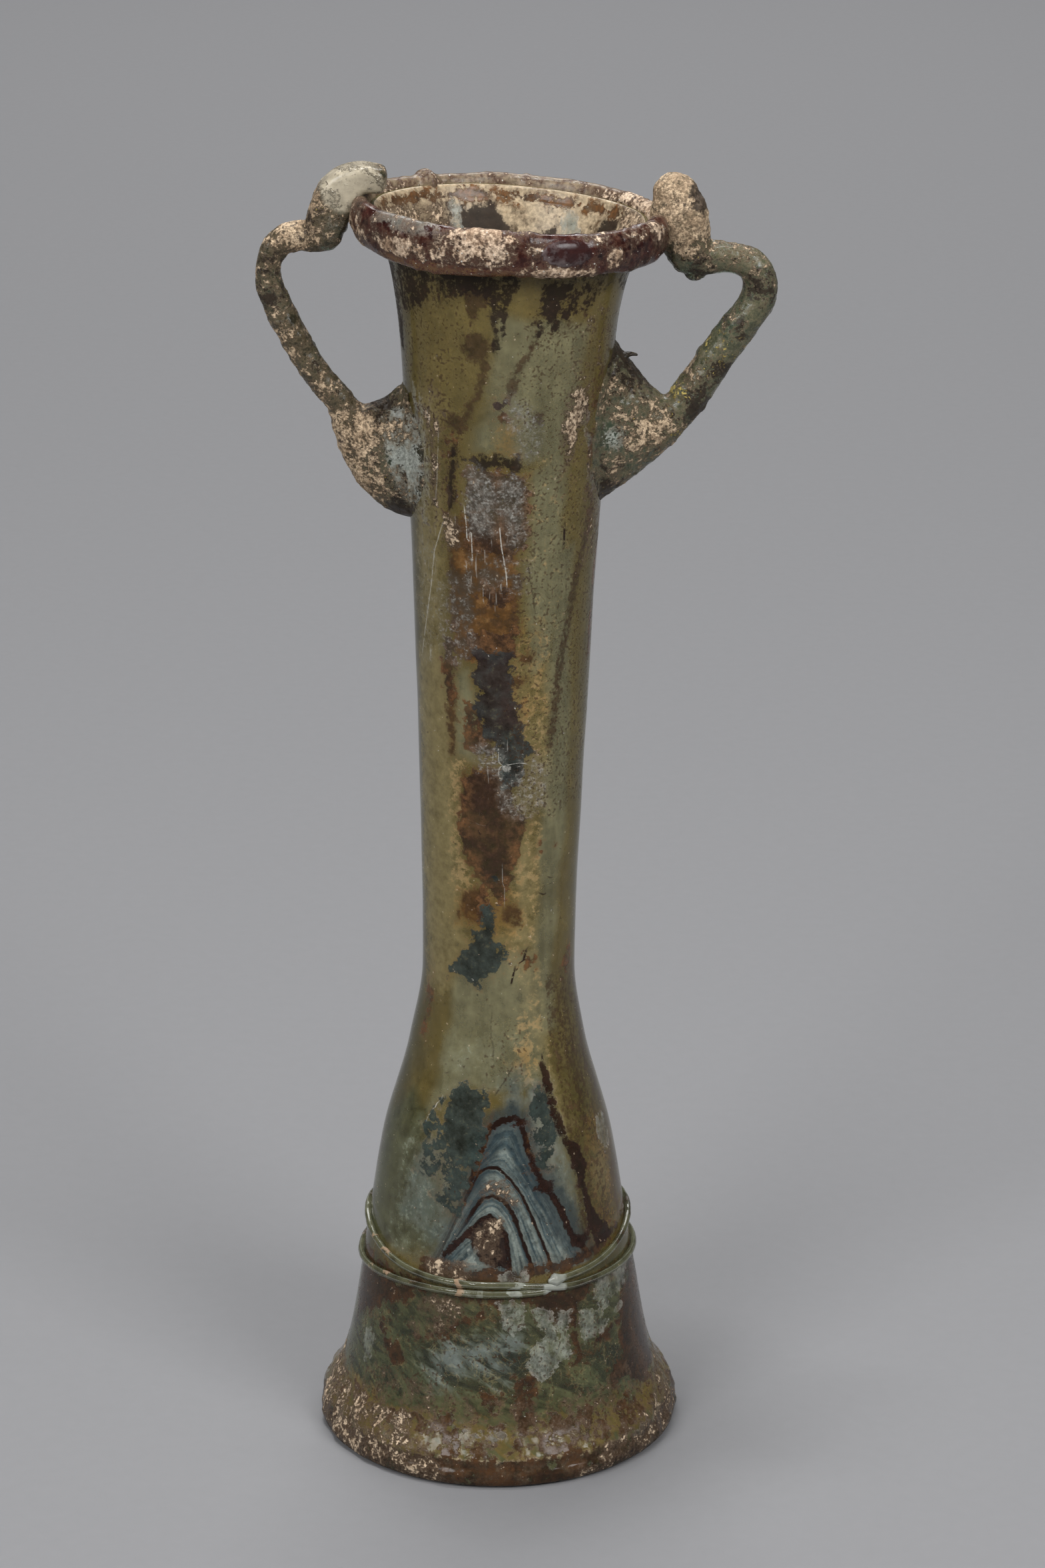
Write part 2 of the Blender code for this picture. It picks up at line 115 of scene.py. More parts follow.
def smooth_step(values: np.ndarray, low: float, high: float) -> np.ndarray:
    """Eases values from 0 at low to 1 at high.

    Args:
        values: The numbers to ease.
        low: Where the result is still 0.
        high: Where the result reaches 1.

    Returns:
        Numbers from 0 to 1.
    """
    share = np.clip((values - low) / (high - low), 0.0, 1.0)
    return share * share * (3.0 - 2.0 * share)


def wrapped(turn: np.ndarray) -> np.ndarray:
    """Returns turns in degrees brought between -180 and 180."""
    return (turn + HALF_TURN) % FULL_TURN - HALF_TURN


def bell(values: np.ndarray, middle: float, width: float) -> np.ndarray:
    """Returns 1 at the middle, falling away to both sides over about the width."""
    return np.exp(-(((values - middle) / width) ** 2))


def bells(values: np.ndarray, rows: tuple[tuple[float, float, float], ...]) -> np.ndarray:
    """Returns the sum of bells, each given by its middle, its width and its height."""
    return sum(height * bell(values, middle, width) for middle, width, height in rows)


class Grain:
    """Smooth repeatable noise in space, from about -1 to 1."""

    TABLE_SIZE = 8192
    OCTAVE_SHIFT = 17.3
    PRIMES = (73856093, 19349663, 83492791)

    def __init__(self, seed: int) -> None:
        """Fills the table of lattice values from the seed."""
        self.table = np.random.default_rng(seed).uniform(-1.0, 1.0, self.TABLE_SIZE)

    def layer(self, points: np.ndarray) -> np.ndarray:
        """Makes one octave of noise.

        Args:
            points: Places measured in lattice steps.

        Returns:
            Noise from -1 to 1.
        """
        cell = np.floor(points).astype(np.int64)
        share = points - cell
        share = share * share * (3.0 - 2.0 * share)
        total = np.zeros(len(points))
        for corner in range(8):
            step = np.array([corner & 1, (corner >> 1) & 1, corner >> 2])
            at = (cell + step) * np.array(self.PRIMES)
            index = (at[:, 0] ^ at[:, 1] ^ at[:, 2]) % len(self.table)
            weight = np.where(step == 1, share, 1.0 - share).prod(axis=1)
            total += weight * self.table[index]
        return total

    def at(self, points: np.ndarray, size: float, octaves: int = 3) -> np.ndarray:
        """Adds octaves of noise.

        Args:
            points: Places in millimetres, one to a row.
            size: The width of the largest lumps in millimetres.
            octaves: How many finer layers are added, each at half the size and strength.

        Returns:
            One number for each place.
        """
        total = np.zeros(len(points))
        strength = 1.0
        for octave in range(octaves):
            total += strength * self.layer(points / size * 2.0**octave + self.OCTAVE_SHIFT * octave)
            strength *= 0.5
        return total


@dataclass(frozen=True)
class FlaskForm:
    """The upright outline of the vessel in millimetres, and how the soft glass settled."""

    levels: tuple[float, ...] = (1.8, 4.4, 7.8, 12.2, 28.0, 44.7, 59.3, 70.5, 108.8, 162.3, 170.5, 178.5)
    radii: tuple[float, ...] = (26.5, 25.7, 23.3, 21.8, 19.1, 16.4, 12.45, 10.8, 11.8, 14.74, 15.9, 18.9)
    wall: float = 2.0
    lip_wall: float = 1.1
    lean_per_height: float = 0.0155
    lean_start: float = 60.0
    mouth_dip: float = 0.066
    dip_start: float = 162.3
    dip_length: float = 13.0
    mouth_depth_share: float = 0.90

    def slopes(self) -> np.ndarray:
        """Works out the outline's slopes, held back so that the curve never overshoots.

        Returns:
            One slope to a station.
        """
        secants = np.diff(self.radii) / np.diff(self.levels)
        inner = [0.0 if a * b <= 0.0 else 2.0 * a * b / (a + b) for a, b in zip(secants, secants[1:])]
        return np.array([secants[0], *inner, secants[-1]])

    def at(self, level: np.ndarray) -> tuple[np.ndarray, np.ndarray]:
        """Reads the outline.

        Args:
            level: Heights in millimetres.

        Returns:
            The radius and the slope at each height.
        """
        levels = np.array(self.levels)
        radii = np.array(self.radii)
        slopes = self.slopes()
        low = np.clip(np.searchsorted(levels, level, side="left") - 1, 0, len(levels) - 2)
        span = levels[low + 1] - levels[low]
        share = np.clip((level - levels[low]) / span, 0.0, 1.0)
        change = radii[low + 1] - radii[low]
        rise_in = slopes[low] * span
        rise_out = slopes[low + 1] * span
        cubic = rise_in + rise_out - 2.0 * change
        square = 3.0 * change - 2.0 * rise_in - rise_out
        radius = radii[low] + share * (rise_in + share * (square + share * cubic))
        slope = (rise_in + share * (2.0 * square + 3.0 * share * cubic)) / span
        return radius, slope

    def radius(self, level: float) -> float:
        """Returns the outside radius at one height."""
        return float(self.at(np.array([level]))[0][0])

    def inner_radius(self, level: np.ndarray) -> np.ndarray:
        """Works out the wall's inner face.

        Args:
            level: Heights in millimetres.

        Returns:
            The inner radius at each height.
        """
        radius, slope = self.at(level)
        share = smooth_step(level, self.dip_start, self.levels[-1])
        wall = self.wall + (self.lip_wall - self.wall) * share
        return radius - wall * np.hypot(1.0, slope)

    def settle(self, points: np.ndarray) -> np.ndarray:
        """Moves upright points to where the leaning, dipping glass has them.

        Args:
            points: Upright points in millimetres.

        Returns:
            The settled points.
        """
        x, y, z = points.T
        share = np.clip((z - self.dip_start) / self.dip_length, 0.0, 1.0)
        dip = share * share * (3.0 - 2.0 * share)
        lean = self.lean_per_height * np.maximum(0.0, z - self.lean_start)
        depth = y * (1.0 - (1.0 - self.mouth_depth_share) * dip)
        return np.stack([x + lean, depth, z - self.mouth_dip * x * dip], axis=1)


@dataclass(frozen=True)
class Setting:
    """Carries settled millimetres into the frame's metres."""

    axis_x: float

    @classmethod
    def from_frame(cls) -> "Setting":
        """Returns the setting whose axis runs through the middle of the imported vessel's foot."""
        low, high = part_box("vessel")
        return cls((low.x + high.x) / 2.0)

    def place(self, points: np.ndarray) -> np.ndarray:
        """Returns points in the frame's metres."""
        return points * METRES_PER_MM + np.array([self.axis_x, 0.0, 0.0])


def new_piece(name: str, points: np.ndarray, faces: list, recalculate: bool = True) -> bpy.types.Object:
    """Makes a smooth mesh object at the origin.

    Args:
        name: The piece's name.
        points: The vertices, in the units of the object.
        faces: Tuples of vertex numbers.
        recalculate: True to turn all faces outward.

    Returns:
        The new object, linked to the scene.
    """
    mesh = bpy.data.meshes.new(name)
    mesh.from_pydata(points.tolist(), [], faces)
    if recalculate:
        form = bmesh.new()
        form.from_mesh(mesh)
        bmesh.ops.recalc_face_normals(form, faces=form.faces)
        form.to_mesh(mesh)
        form.free()
    mesh.shade_smooth()
    return linked(name, mesh)


def linked(name: str, data: bpy.types.ID) -> bpy.types.Object:
    """Makes an object and links it to the scene.

    Args:
        name: The object's name.
        data: The mesh, camera or light that it shows.

    Returns:
        The new object.
    """
    made = bpy.data.objects.new(name, data)
    bpy.context.scene.collection.objects.link(made)
    return made


def frozen(drawing: bpy.types.Object) -> bpy.types.Mesh:
    """Turns an object's modifiers into a plain mesh, and removes the object.

    Args:
        drawing: An object with modifiers.

    Returns:
        The new mesh.
    """
    graph = bpy.context.evaluated_depsgraph_get()
    mesh = bpy.data.meshes.new_from_object(drawing.evaluated_get(graph))
    bpy.data.objects.remove(drawing)
    return mesh


def tube_faces(rings: int, sides: int, closed: bool = False, start: int = 0) -> list[tuple[int, ...]]:
    """Joins rings of vertices into a tube.

    Args:
        rings: How many rings there are.
        sides: How many vertices each ring has.
        closed: True to join the last ring to the first.
        start: The number of the first vertex.

    Returns:
        The four-sided faces between the rings.
    """
    faces = []
    for ring in range(rings if closed else rings - 1):
        low = start + ring * sides
        high = start + (ring + 1) % rings * sides
        for side in range(sides):
            beside = (side + 1) % sides
            faces.append((low + side, low + beside, high + beside, high + side))
    return faces


def read_vectors(items: bpy.types.bpy_prop_collection, name: str) -> np.ndarray:
    """Reads one vector of each item of a mesh.

    Args:
        items: The mesh's vertices or their normals.
        name: The vector's name.

    Returns:
        One vector to a row.
    """
    flat = np.empty(len(items) * 3)
    items.foreach_get(name, flat)
    return flat.reshape(-1, 3)


def write_points(mesh: bpy.types.Mesh, points: np.ndarray) -> None:
    """Writes the vertices of a mesh."""
    mesh.vertices.foreach_set("co", points.ravel())
    mesh.update()


def pushed(mesh: bpy.types.Mesh, points: np.ndarray, height: np.ndarray) -> np.ndarray:
    """Returns points moved along the mesh's vertex normals by a height each."""
    return points + read_vectors(mesh.vertex_normals, "vector") * height[:, None]


def write_attribute(mesh: bpy.types.Mesh, name: str, values: np.ndarray) -> None:
    """Writes one number for each vertex as a named attribute."""
    mesh.attributes.new(name, "FLOAT", "POINT").data.foreach_set("value", values.astype(np.float32))


@dataclass(frozen=True)
class Chart:
    """Where each vertex of a turned skin lies."""

    turn: np.ndarray
    level: np.ndarray
    inside: np.ndarray
    form: FlaskForm


@dataclass(frozen=True)
class Mark:
    """One stain, line or patch, drawn on the skin as turns and levels.

    Its depth is a distance in millimetres, positive inside the mark and held at the cap. A low cap
    leaves a mark that only partly covers.
    """

    coat: Coat
    points: tuple[tuple[float, float], ...]
    inside: bool = False
    cap: float = 3.0

    def depth(self, x: np.ndarray, y: np.ndarray, path: list) -> np.ndarray:
        """Returns the signed distance into the mark for places near it."""
        raise NotImplementedError

    def reach(self) -> float:
        """Returns how far the mark spreads past its points, in millimetres."""
        return 0.0

    def onto(self, chart: Chart, field: np.ndarray) -> None:
        """Raises a field to this mark's depth wherever the mark is deeper.

        Args:
            chart: The vertices' places.
            field: One depth for each vertex, changed in place.
        """
        turns = [turn for turn, _ in self.points]
        heights = [level for _, level in self.points]
        middle_turn = (min(turns) + max(turns)) / 2.0
        middle_level = (min(heights) + max(heights)) / 2.0
        scale = math.radians(1.0) * chart.form.radius(min(middle_level, chart.form.levels[-1]))
        across = wrapped(chart.turn - middle_turn) * scale
        room = FAR + self.reach()
        near = chart.inside == self.inside
        near &= np.abs(across) < (max(turns) - min(turns)) / 2.0 * scale + room
        near &= chart.level > min(heights) - room
        near &= chart.level < max(heights) + room
        path = [((turn - middle_turn) * scale, level) for turn, level in self.points]
        depth = np.clip(self.depth(across[near], chart.level[near], path), -FAR, self.cap)
        field[near] = np.maximum(field[near], depth)


def signed_distance(x: np.ndarray, y: np.ndarray, path: list) -> np.ndarray:
    """Measures how far places lie from a line of straight parts.

    Args:
        x: The places across.
        y: The places up.
        path: The line's points.

    Returns:
        The distances, negative on the right of the line's direction.
    """
    best = np.full(x.shape, np.inf)
    side = np.ones(x.shape)
    for (ax, ay), (bx, by) in zip(path, path[1:]):
        dx = bx - ax
        dy = by - ay
        share = np.clip(((x - ax) * dx + (y - ay) * dy) / max(dx * dx + dy * dy, 1e-9), 0.0, 1.0)
        distance = np.hypot(x - ax - share * dx, y - ay - share * dy)
        nearer = distance < best
        best[nearer] = distance[nearer]
        side[nearer] = np.where((dx * (y - ay) - dy * (x - ax))[nearer] < 0.0, -1.0, 1.0)
    return best * side


@dataclass(frozen=True)
class Patch(Mark):
    """A filled outline."""

    def depth(self, x: np.ndarray, y: np.ndarray, path: list) -> np.ndarray:
        """Measures how far places lie within the outline.

        Args:
            x: The places across.
            y: The places up.
            path: The outline's corners.

        Returns:
            The distance to the outline, positive within it.
        """
        within = np.zeros(x.shape, bool)
        for (ax, ay), (bx, by) in zip(path, path[1:] + path[:1]):
            if ay == by:
                continue
            crosses = (ay > y) != (by > y)
            within ^= crosses & (x < (bx - ax) * (y - ay) / (by - ay) + ax)
        distance = np.abs(signed_distance(x, y, path + path[:1]))
        return np.where(within, distance, -distance)


@dataclass(frozen=True)
class Streak(Mark):
    """A line of even width."""

    half_width: float = 0.5

    def reach(self) -> float:
        """Returns half the line's width."""
        return self.half_width

    def depth(self, x: np.ndarray, y: np.ndarray, path: list) -> np.ndarray:
        """Returns how far inside the line's width each place is."""
        return self.half_width - np.abs(signed_distance(x, y, path))


@dataclass(frozen=True)
class Spot(Mark):
    """An oval round one point, with its half width and half height in millimetres."""

    wide: float = 1.0
    tall: float = 1.0

    def reach(self) -> float:
        """Returns the larger half size."""
        return max(self.wide, self.tall)

    def depth(self, x: np.ndarray, y: np.ndarray, path: list) -> np.ndarray:
        """Returns about how far inside the oval each place is."""
        share = np.hypot((x - path[0][0]) / self.wide, (y - path[0][1]) / self.tall)
        return (1.0 - share) * min(self.wide, self.tall)


@dataclass(frozen=True)
class Belt(Mark):
    """A band all the way round between the levels of its two points."""

    def onto(self, chart: Chart, field: np.ndarray) -> None:
        """Raises a field to the belt's depth.

        Args:
            chart: The vertices' places.
            field: One depth for each vertex, changed in place.
        """
        low = self.points[0][1]
        high = self.points[1][1]
        depth = (high - low) / 2.0 - np.abs(chart.level - (low + high) / 2.0)
        near = chart.inside == self.inside
        field[near] = np.maximum(field[near], np.clip(depth[near], -FAR, self.cap))


@dataclass(frozen=True)
class Hair:
    """A fine line on the skin, pale where its tone is above 0 and dark where it is below."""

    points: tuple[tuple[float, float], ...]
    tone: float
    half_width: float
    half_span: float = 15.0
    taper: float = 0.9

    def onto(self, chart: Chart, across: np.ndarray, tone: np.ndarray) -> None:
        """Writes the line into two fields.

        Args:
            chart: The vertices' places.
            across: The signed distance to the nearest line in half widths, changed in place.
            tone: The strength of that line, changed in place.
        """
        x, y, path = unrolled(chart, self.points)
        levels = [level for _, level in self.points]
        near = (np.abs(x) < self.half_span) & ~chart.inside
        near &= (y > min(levels) - FAR) & (y < max(levels) + FAR)
        distance = signed_distance(x[near], y[near], path)
        ends = np.minimum(np.hypot(x[near] - path[0][0], y[near] - path[0][1]),
                          np.hypot(x[near] - path[-1][0], y[near] - path[-1][1]))
        strength = self.tone * bell(distance, 0.0, 1.0) * smooth_step(ends, 0.0, self.taper)
        index = np.flatnonzero(near)
        wins = np.abs(strength) > np.abs(tone[index])
        tone[index[wins]] = strength[wins]
        across[index[wins]] = distance[wins] / self.half_width


def unrolled(chart: Chart, points: tuple) -> tuple[np.ndarray, np.ndarray, list]:
    """Lays the skin flat round the middle of a line.

    Args:
        chart: The vertices' places.
        points: The line's turns and levels.

    Returns:
        The vertices' places across and up in millimetres, and the line's points likewise.
    """
    middle_turn = sum(turn for turn, _ in points) / len(points)
    middle_level = sum(level for _, level in points) / len(points)
    scale = math.radians(1.0) * chart.form.radius(middle_level)
    path = [((turn - middle_turn) * scale, level) for turn, level in points]
    return wrapped(chart.turn - middle_turn) * scale, chart.level, path


@dataclass(frozen=True)
class Arches:
    """The nested dark veins in the wall of the body, from the innermost out."""

    lines: tuple[str, ...] = (
        "-27,29 -24,32.4 -18,34.6 -12,36.5 -8,38.2 -3,38.8 1,37.7 4,36 5.3,33 5.4,29",
        "-29,29 -23,33 -17,36.5 -12,39 -10,40 -7,41.3 -2,41.7 3,41 7,39.3 9,37.5 11,35.5 13,33.5 15,31.5 "
        "16.5,29",
        "-31,29 -24,34.3 -16,40.2 -12,43 -9,45 -5,45.6 0,45.7 3,45 7,43.8 12,41.5 16,38.5 20,35 23,32.3 "
        "25,29",
        "-33,29 -25,34 -20,38.2 -13,43.6 -10,46.5 -7,49 -4,51 2,52 10,52.4 13,51.6 15,49.5 17,47 20,44.5 "
        "24,42 28,40.5 31,38.5 34,36 37,34 41,32.5 46,29",
    )
    middle_turn: float = 4.0
    middle_level: float = 41.0
    half_span: float = 24.0
    lowest: float = 20.0
    highest: float = 66.0
    fade_in: tuple[float, float] = (29.6, 31.0)
    far: float = 9.0

    def onto(self, mesh: bpy.types.Mesh, chart: Chart) -> None:
        """Writes the distance to each vein, the place between them and their strength.

        Args:
            mesh: The vessel's mesh.
            chart: The vertices' places.
        """
        scale = math.radians(1.0) * chart.form.radius(self.middle_level)
        x = wrapped(chart.turn - self.middle_turn) * scale
        near = ~chart.inside & (np.abs(x) < self.half_span)
        near &= (chart.level > self.lowest) & (chart.level < self.highest)
        distances = []
        for index, line in enumerate(self.lines):
            path = [((turn - self.middle_turn) * scale, level) for turn, level in read_groups(line)]
            field = np.full(len(x), self.far)
            field[near] = np.clip(signed_distance(x[near], chart.level[near], path), -self.far, self.far)
            distances.append(field)
            write_attribute(mesh, f"arch_{index}", field)
        nest = np.full(len(x), -1.0)
        nest = np.where(distances[0] < 0.0, np.maximum(-1.0, distances[0] / 3.0), nest)
        for index in range(3):
            outside = distances[index]
            inside = -distances[index + 1]
            between = (outside >= 0.0) & (inside > 0.0)
            nest = np.where(between, index + outside / (outside + inside), nest)
        nest = np.where(distances[3] >= 0.0, 3.0 + distances[3] / 3.0, nest)
        write_attribute(mesh, "arch_nest", nest)
        limb = 1.0 - 0.6 * smooth_step(-chart.turn, 11.0, 19.0)
        write_attribute(mesh, "arch_strength", limb * smooth_step(chart.level, *self.fade_in) * near)


def read_groups(text: str) -> tuple[tuple[float, ...], ...]:
    """Returns the groups of numbers in a line of text, with commas in a group and spaces between."""
    return tuple(tuple(float(part) for part in group.split(",")) for group in text.split())


def read_table(text: str) -> list[tuple[list[str], tuple[tuple[float, ...], ...]]]:
    """Reads a table of drawn places.

    Args:
        text: One entry to a line: words, a colon, and groups of numbers. A line that starts with spaces
            carries the one above on.

    Returns:
        The words and the groups of each entry.
    """
    entries = []
    for line in filter(None, text.replace("\n    ", " ").splitlines()):
        words, _, groups = line.partition(":")
        entries.append((words.split(), read_groups(groups)))
    return entries


def read_marks(drawing: str, inside: bool = False) -> list[Mark]:
    """Reads a drawing of marks.

    Args:
        drawing: A table with each mark's kind, coat, cap and sizes, and its pairs of turn and level.
        inside: True for marks on the inner face of the wall.

    Returns:
        The marks in order.
    """
    kinds = {"patch": Patch, "streak": Streak, "spot": Spot, "belt": Belt}
    marks = []
    for (kind, coat, *sizes), points in read_table(drawing):
        marks.append(kinds[kind](Coat(coat), points, inside, *map(float, sizes)))
    return marks


HAIRS = """
0.1 0.086: -85,35 -70,34.1 -48,31.9 -30,31.4 -6,31.5
0.1 0.086: 12,31.7 21,32.1 42,33 70,34.4 85,35
0.6 0.108: -39,139 -48,134 -52,129 -58,124 -66,118
0.4 0.086: -41,152 -43,145 -46,140
-1 0.24: 38,139 38.4,134.6
-0.6 0.14: 14,134 17,130 20,126
0.8 0.101: -25,142 -23.4,139 -23,136
0.75 0.094: -20.4,139 -19.6,133.4
0.5 0.065: -12,136 -11.8,133.2
0.75 0.086: -3.5,139.5 -2,136 1,132.4 2,129.6
0.5 0.058: -13,130.4 -12.8,127.4
0.5 0.058: -5,130 -4.6,127.2
0.6 0.058: -17,104.3 -6,104.6 2,104.2 12,104.5 20,104.1
0.45 0.05: -6,103.2 4,103.5 9,103.2
0.55 0.065: -2.2,107.5 -1.7,101.8
0.25 0.05: -20,95.6 -12,95.2 -6,95.5
0.2 0.05: -16,91.6 -10,91.3
0.4 0.058: 1.5,90 2.2,85.6
0.4 0.058: 3.4,87.4 3.8,82.6
0.7 0.094: -39,52 -36.4,54.2
0.6 0.086: -35.6,53.6 -33.4,55.2
0.5 0.079: -43,50 -40.6,52.4
-0.6 0.14: -3,55 2,56.6 8,58.6 12,60
-0.5 0.16: -4,68 -5,64.4 -2.6,62 -3,59.6
-0.9 0.2: 31,61 31.4,59
-0.8 0.14: 28,84.8 34,84.2 39,84.4
-0.8 0.13: 35,87 40,86.4 44,86.6
-1 0.24: 18,74 20,75.8 22.5,76.8
-0.9 0.18: 9,70.8 11,72.6 13,74.4
-0.25 0.1: 27,164 28,150 28.4,138
"""

FOOT_MARKS = """
belt film 0.9: 0,-3 0,4.4
belt film 0: 0,2 0,8.6
belt dust -0.1: 0,-3 0,4.4
belt ochre 2: 0,3 0,10
patch crust 0.05: -92,1 -92,11 -80,9 -73,7.8 -45,7.8 -33,8 -28,6.2 -20,3 -18,0.5
patch crust -0.1: 27,0.7 36,3.8 46,4.2 54.5,5.2 65.5,5.8 82,7.5 92,11 92,2 46,0.8
patch crust -0.7: -60,7 -60,13 -20,12 20,10 60,12 60,6
patch speck 0.6: -90,6 -90,26 90,26 90,6
patch film: -83,21.5 -79.5,16.5 -67,19.2 -47.5,23.8 -35.5,25.5 -40.5,26.6 -58,26.4 -83,25
patch film 1.4: -58.5,19.2 -52.5,17.2 -47,15 -43,14.2 -38,16.5 -42,17.2 -49.5,17.8 -54,19.8
streak film 1 0.4: -33.5,19.8 -22,21 -14.5,23 -8,24.2
streak film 0.5 0.35: -7.5,26.8 -7,24.2
streak film 0.5 0.35: 0,27 0,24
patch film: 4,26.8 13.5,26 20.5,23.5 24.5,22.5 29.5,22.8 31,21 30.5,18.8 35,17.5 35,19.5 34.5,22 36.5,24.5
    44.5,26 41.5,27.2 22,27.2 4,27.4
patch film 1.4: 30.5,15.2 38.5,17 47.5,18 58,19 61,19.5 54,19.8 42.5,18.5 34,16.8 29.5,16
spot film 0.8 2.6 1.5: 52.5,12.2
patch film 0.4: 64,27 62,20 66,14 89,12 89,27
patch film 1.2: 54,11 60,22 74,25 86,20 84,9 64,8.5
patch film 0.6: 7,15.2 14.5,15 13.5,10 11,7 7,7
patch film 0.3: -6.5,12.8 0,12.5 -0.5,10 -5.5,10.2
patch film 0.4: -23,9.5 -14.5,10 -14.5,7.2 -20.5,6.8
patch film 0.3: 19,10.2 37,9.2 34,6 18.5,7
patch crust -0.1: -35,24.8 -27,26 -19,25.8 -15.5,25 -20,22.5 -27.5,20.8 -35,19.8 -36.5,21.2 -32.5,22.5
patch green: -78,8 -76,17 -55,19 -38,24 -30,19 -27,12 -30,8
patch green 2: 33,8 36,14 58,18 84,17 84,8
patch blue 2: -33,17 -20,20.5 -1.5,21.8 12,22.2 10.5,16.5 5,14 -10,15.2 -24,13.2
patch pale 0.4: 1,26 2,22.5 7,21 12,22.5 11.5,25.4 7,26.6
patch pale 0.9: 14,25 22,25 23.5,22.2 26,20.2 30.5,18.5 29,17 23,15.8 17.5,14.5 12,16.5 12.5,18.2 16,19.5
    19,21.2 15,23.5
patch pale 1.2: 25.5,24 31,23.8 29.5,19 25.5,19.2
patch pale 2: 45.5,27.2 55.5,26.8 74,26.5 67.5,24 56,23 49.5,22 45,24.2
patch pale 1.6: 36.5,23.5 42,23 49.5,21.8 51,20.2 45,19 37.5,18.2 35,20
patch pale 0.2: -12.5,8 4.5,7.5 4,6.8 -10.5,7
spot pale 0.6 1.5 2.6: -62,15
spot pale 2 2 0.7: 54,4
streak cream 0.8 0.5: 29.5,5.2 38.5,6.8 48.5,7.5
streak pale 0.8 0.35: 40,19.1 50,20.1 60,21.3
"""

THREAD_BAND_MARKS = """
streak film 1 1.3: -32,30.2 -20,29.8 -8,29.8 9,29.9
streak crust 0 0.9: -29,30.3 -15,30.4
streak pale 0.4 0.9: 5,29.8 10,29.8
streak ridge 3 0.3: -85,35 -70,34.1 -48,31.9 -30,31.4 -6,31.5 21,32.1 42,33 70,34.4 85,35
streak film 0.8 0.75: 14,30.4 30,30.6 45,31.2 60,32.2 84,33
belt film 0.25: 0,26.3 0,27.8
"""

BODY_MARKS = """
patch green: -84,32 -84,48 -60,54 -44,52 -34,46 -26,40 -28,32
patch haze: -34,58 -30,74 26,74 32,60 20,56 -10,56
patch haze: -44,52 -38,64 -34,72 -28,76 30,76 34,62 28,56 14,58 -10,57
patch mist -0.7: -56,32 -52,46 -38,53 -28,50 -20,42 -24,32
patch mist -1.2: -36,54 -34,62 -10,64 10,62 12,58 -10,57
patch mist -0.8: 14,46 20,54 32,50 36,38 26,38
patch blue: -28,31 -20,40 -12,48 0,52 10,54 17,52 24,46 30,40 38,33 30,31 0,31
patch blue 0.6: -50,37 -44,46 -34,49 -20,46 -14,38 -26,34
patch blue 1.5: 2,53 6,58 14,58.5 20,54 12,52
patch blue 1.6: 12,51 17,57 33,57 37,48 40,36 34,31 28,38 20,44
patch ink: -31,54.5 -27,56 -20,57 -14,56.2 -8,56.3 -3,55.5 -8,52 -5,50 -10,47 -12,45 -20,46 -28,48 -33,52
patch ink 0.1: -44,44 -43,50 -36,54 -28,55 -24,47 -28,42
patch ink 0.3: -30,40 -28,48 -16,47 -13,43 -18,38
patch ink 0.5: 19,46 18,53 24,56 32,55 33,48 26,44
spot seam 0.8 1.1 0.6: 13,51.8
spot seam 3 1.7 0.9: 24,42.4
spot seam 3 1.8 0.9: 39.5,33.4
streak seam 0.7 0.35: 17,47 20,44.5 24,42 28,40.5 31,38.5 34,36 37,34 41,32.5
patch seam 1.6: -13,36.6 -8,38.2 -3,38.8 1,37.7 4,36 5.6,33 5.4,31 0,31.2 -8,32 -12,34
streak seam 0.8 0.5: -12,36.5 -18,34.6 -24,32.4
streak crust 3 0.32: -8,36.4 -8.4,34.6
streak crust 3 0.34: -5,35.4 -5.3,32.6
streak crust 3 0.34: -1.4,36.9 -1.9,35
streak crust 3 0.3: -1.8,33.8 -2.2,32.2
spot crust 3 0.8 0.5: -1,37.4
patch crust 0: -6,41.4 -4,43 3,43.2 9,41.6 8,40.4 2,41.9
patch pale 0.8: -15,31.4 -14,33.6 -9,34.2 -9,31.6
patch ochre -0.1: -2,46 0,49.5 8,49 8,46
patch ochre 0.1: 9,43 10,46.5 15,46 16,43
streak seam 0.25 0.65: 31,59 33,55.5 34.5,52.5 37,49 41,46
patch seam 1.4: 38,48 46,47.4 50,44 47,41 51,37 58,34 64,32 50,31.4 46,35 44,40 41,44
patch ochre -0.1: 48,32 52,39 52,46 60,50 80,48 80,32
spot cream 1.4 2 2.8: 60,41.5
streak cream 1.2 0.75: 26,68 29,64 31,60 34,57 37,53 40,50
spot pale 0.7 2 2.4: 72,46.6
spot ochre 0.4 1.2 0.9: 16,60.2
"""
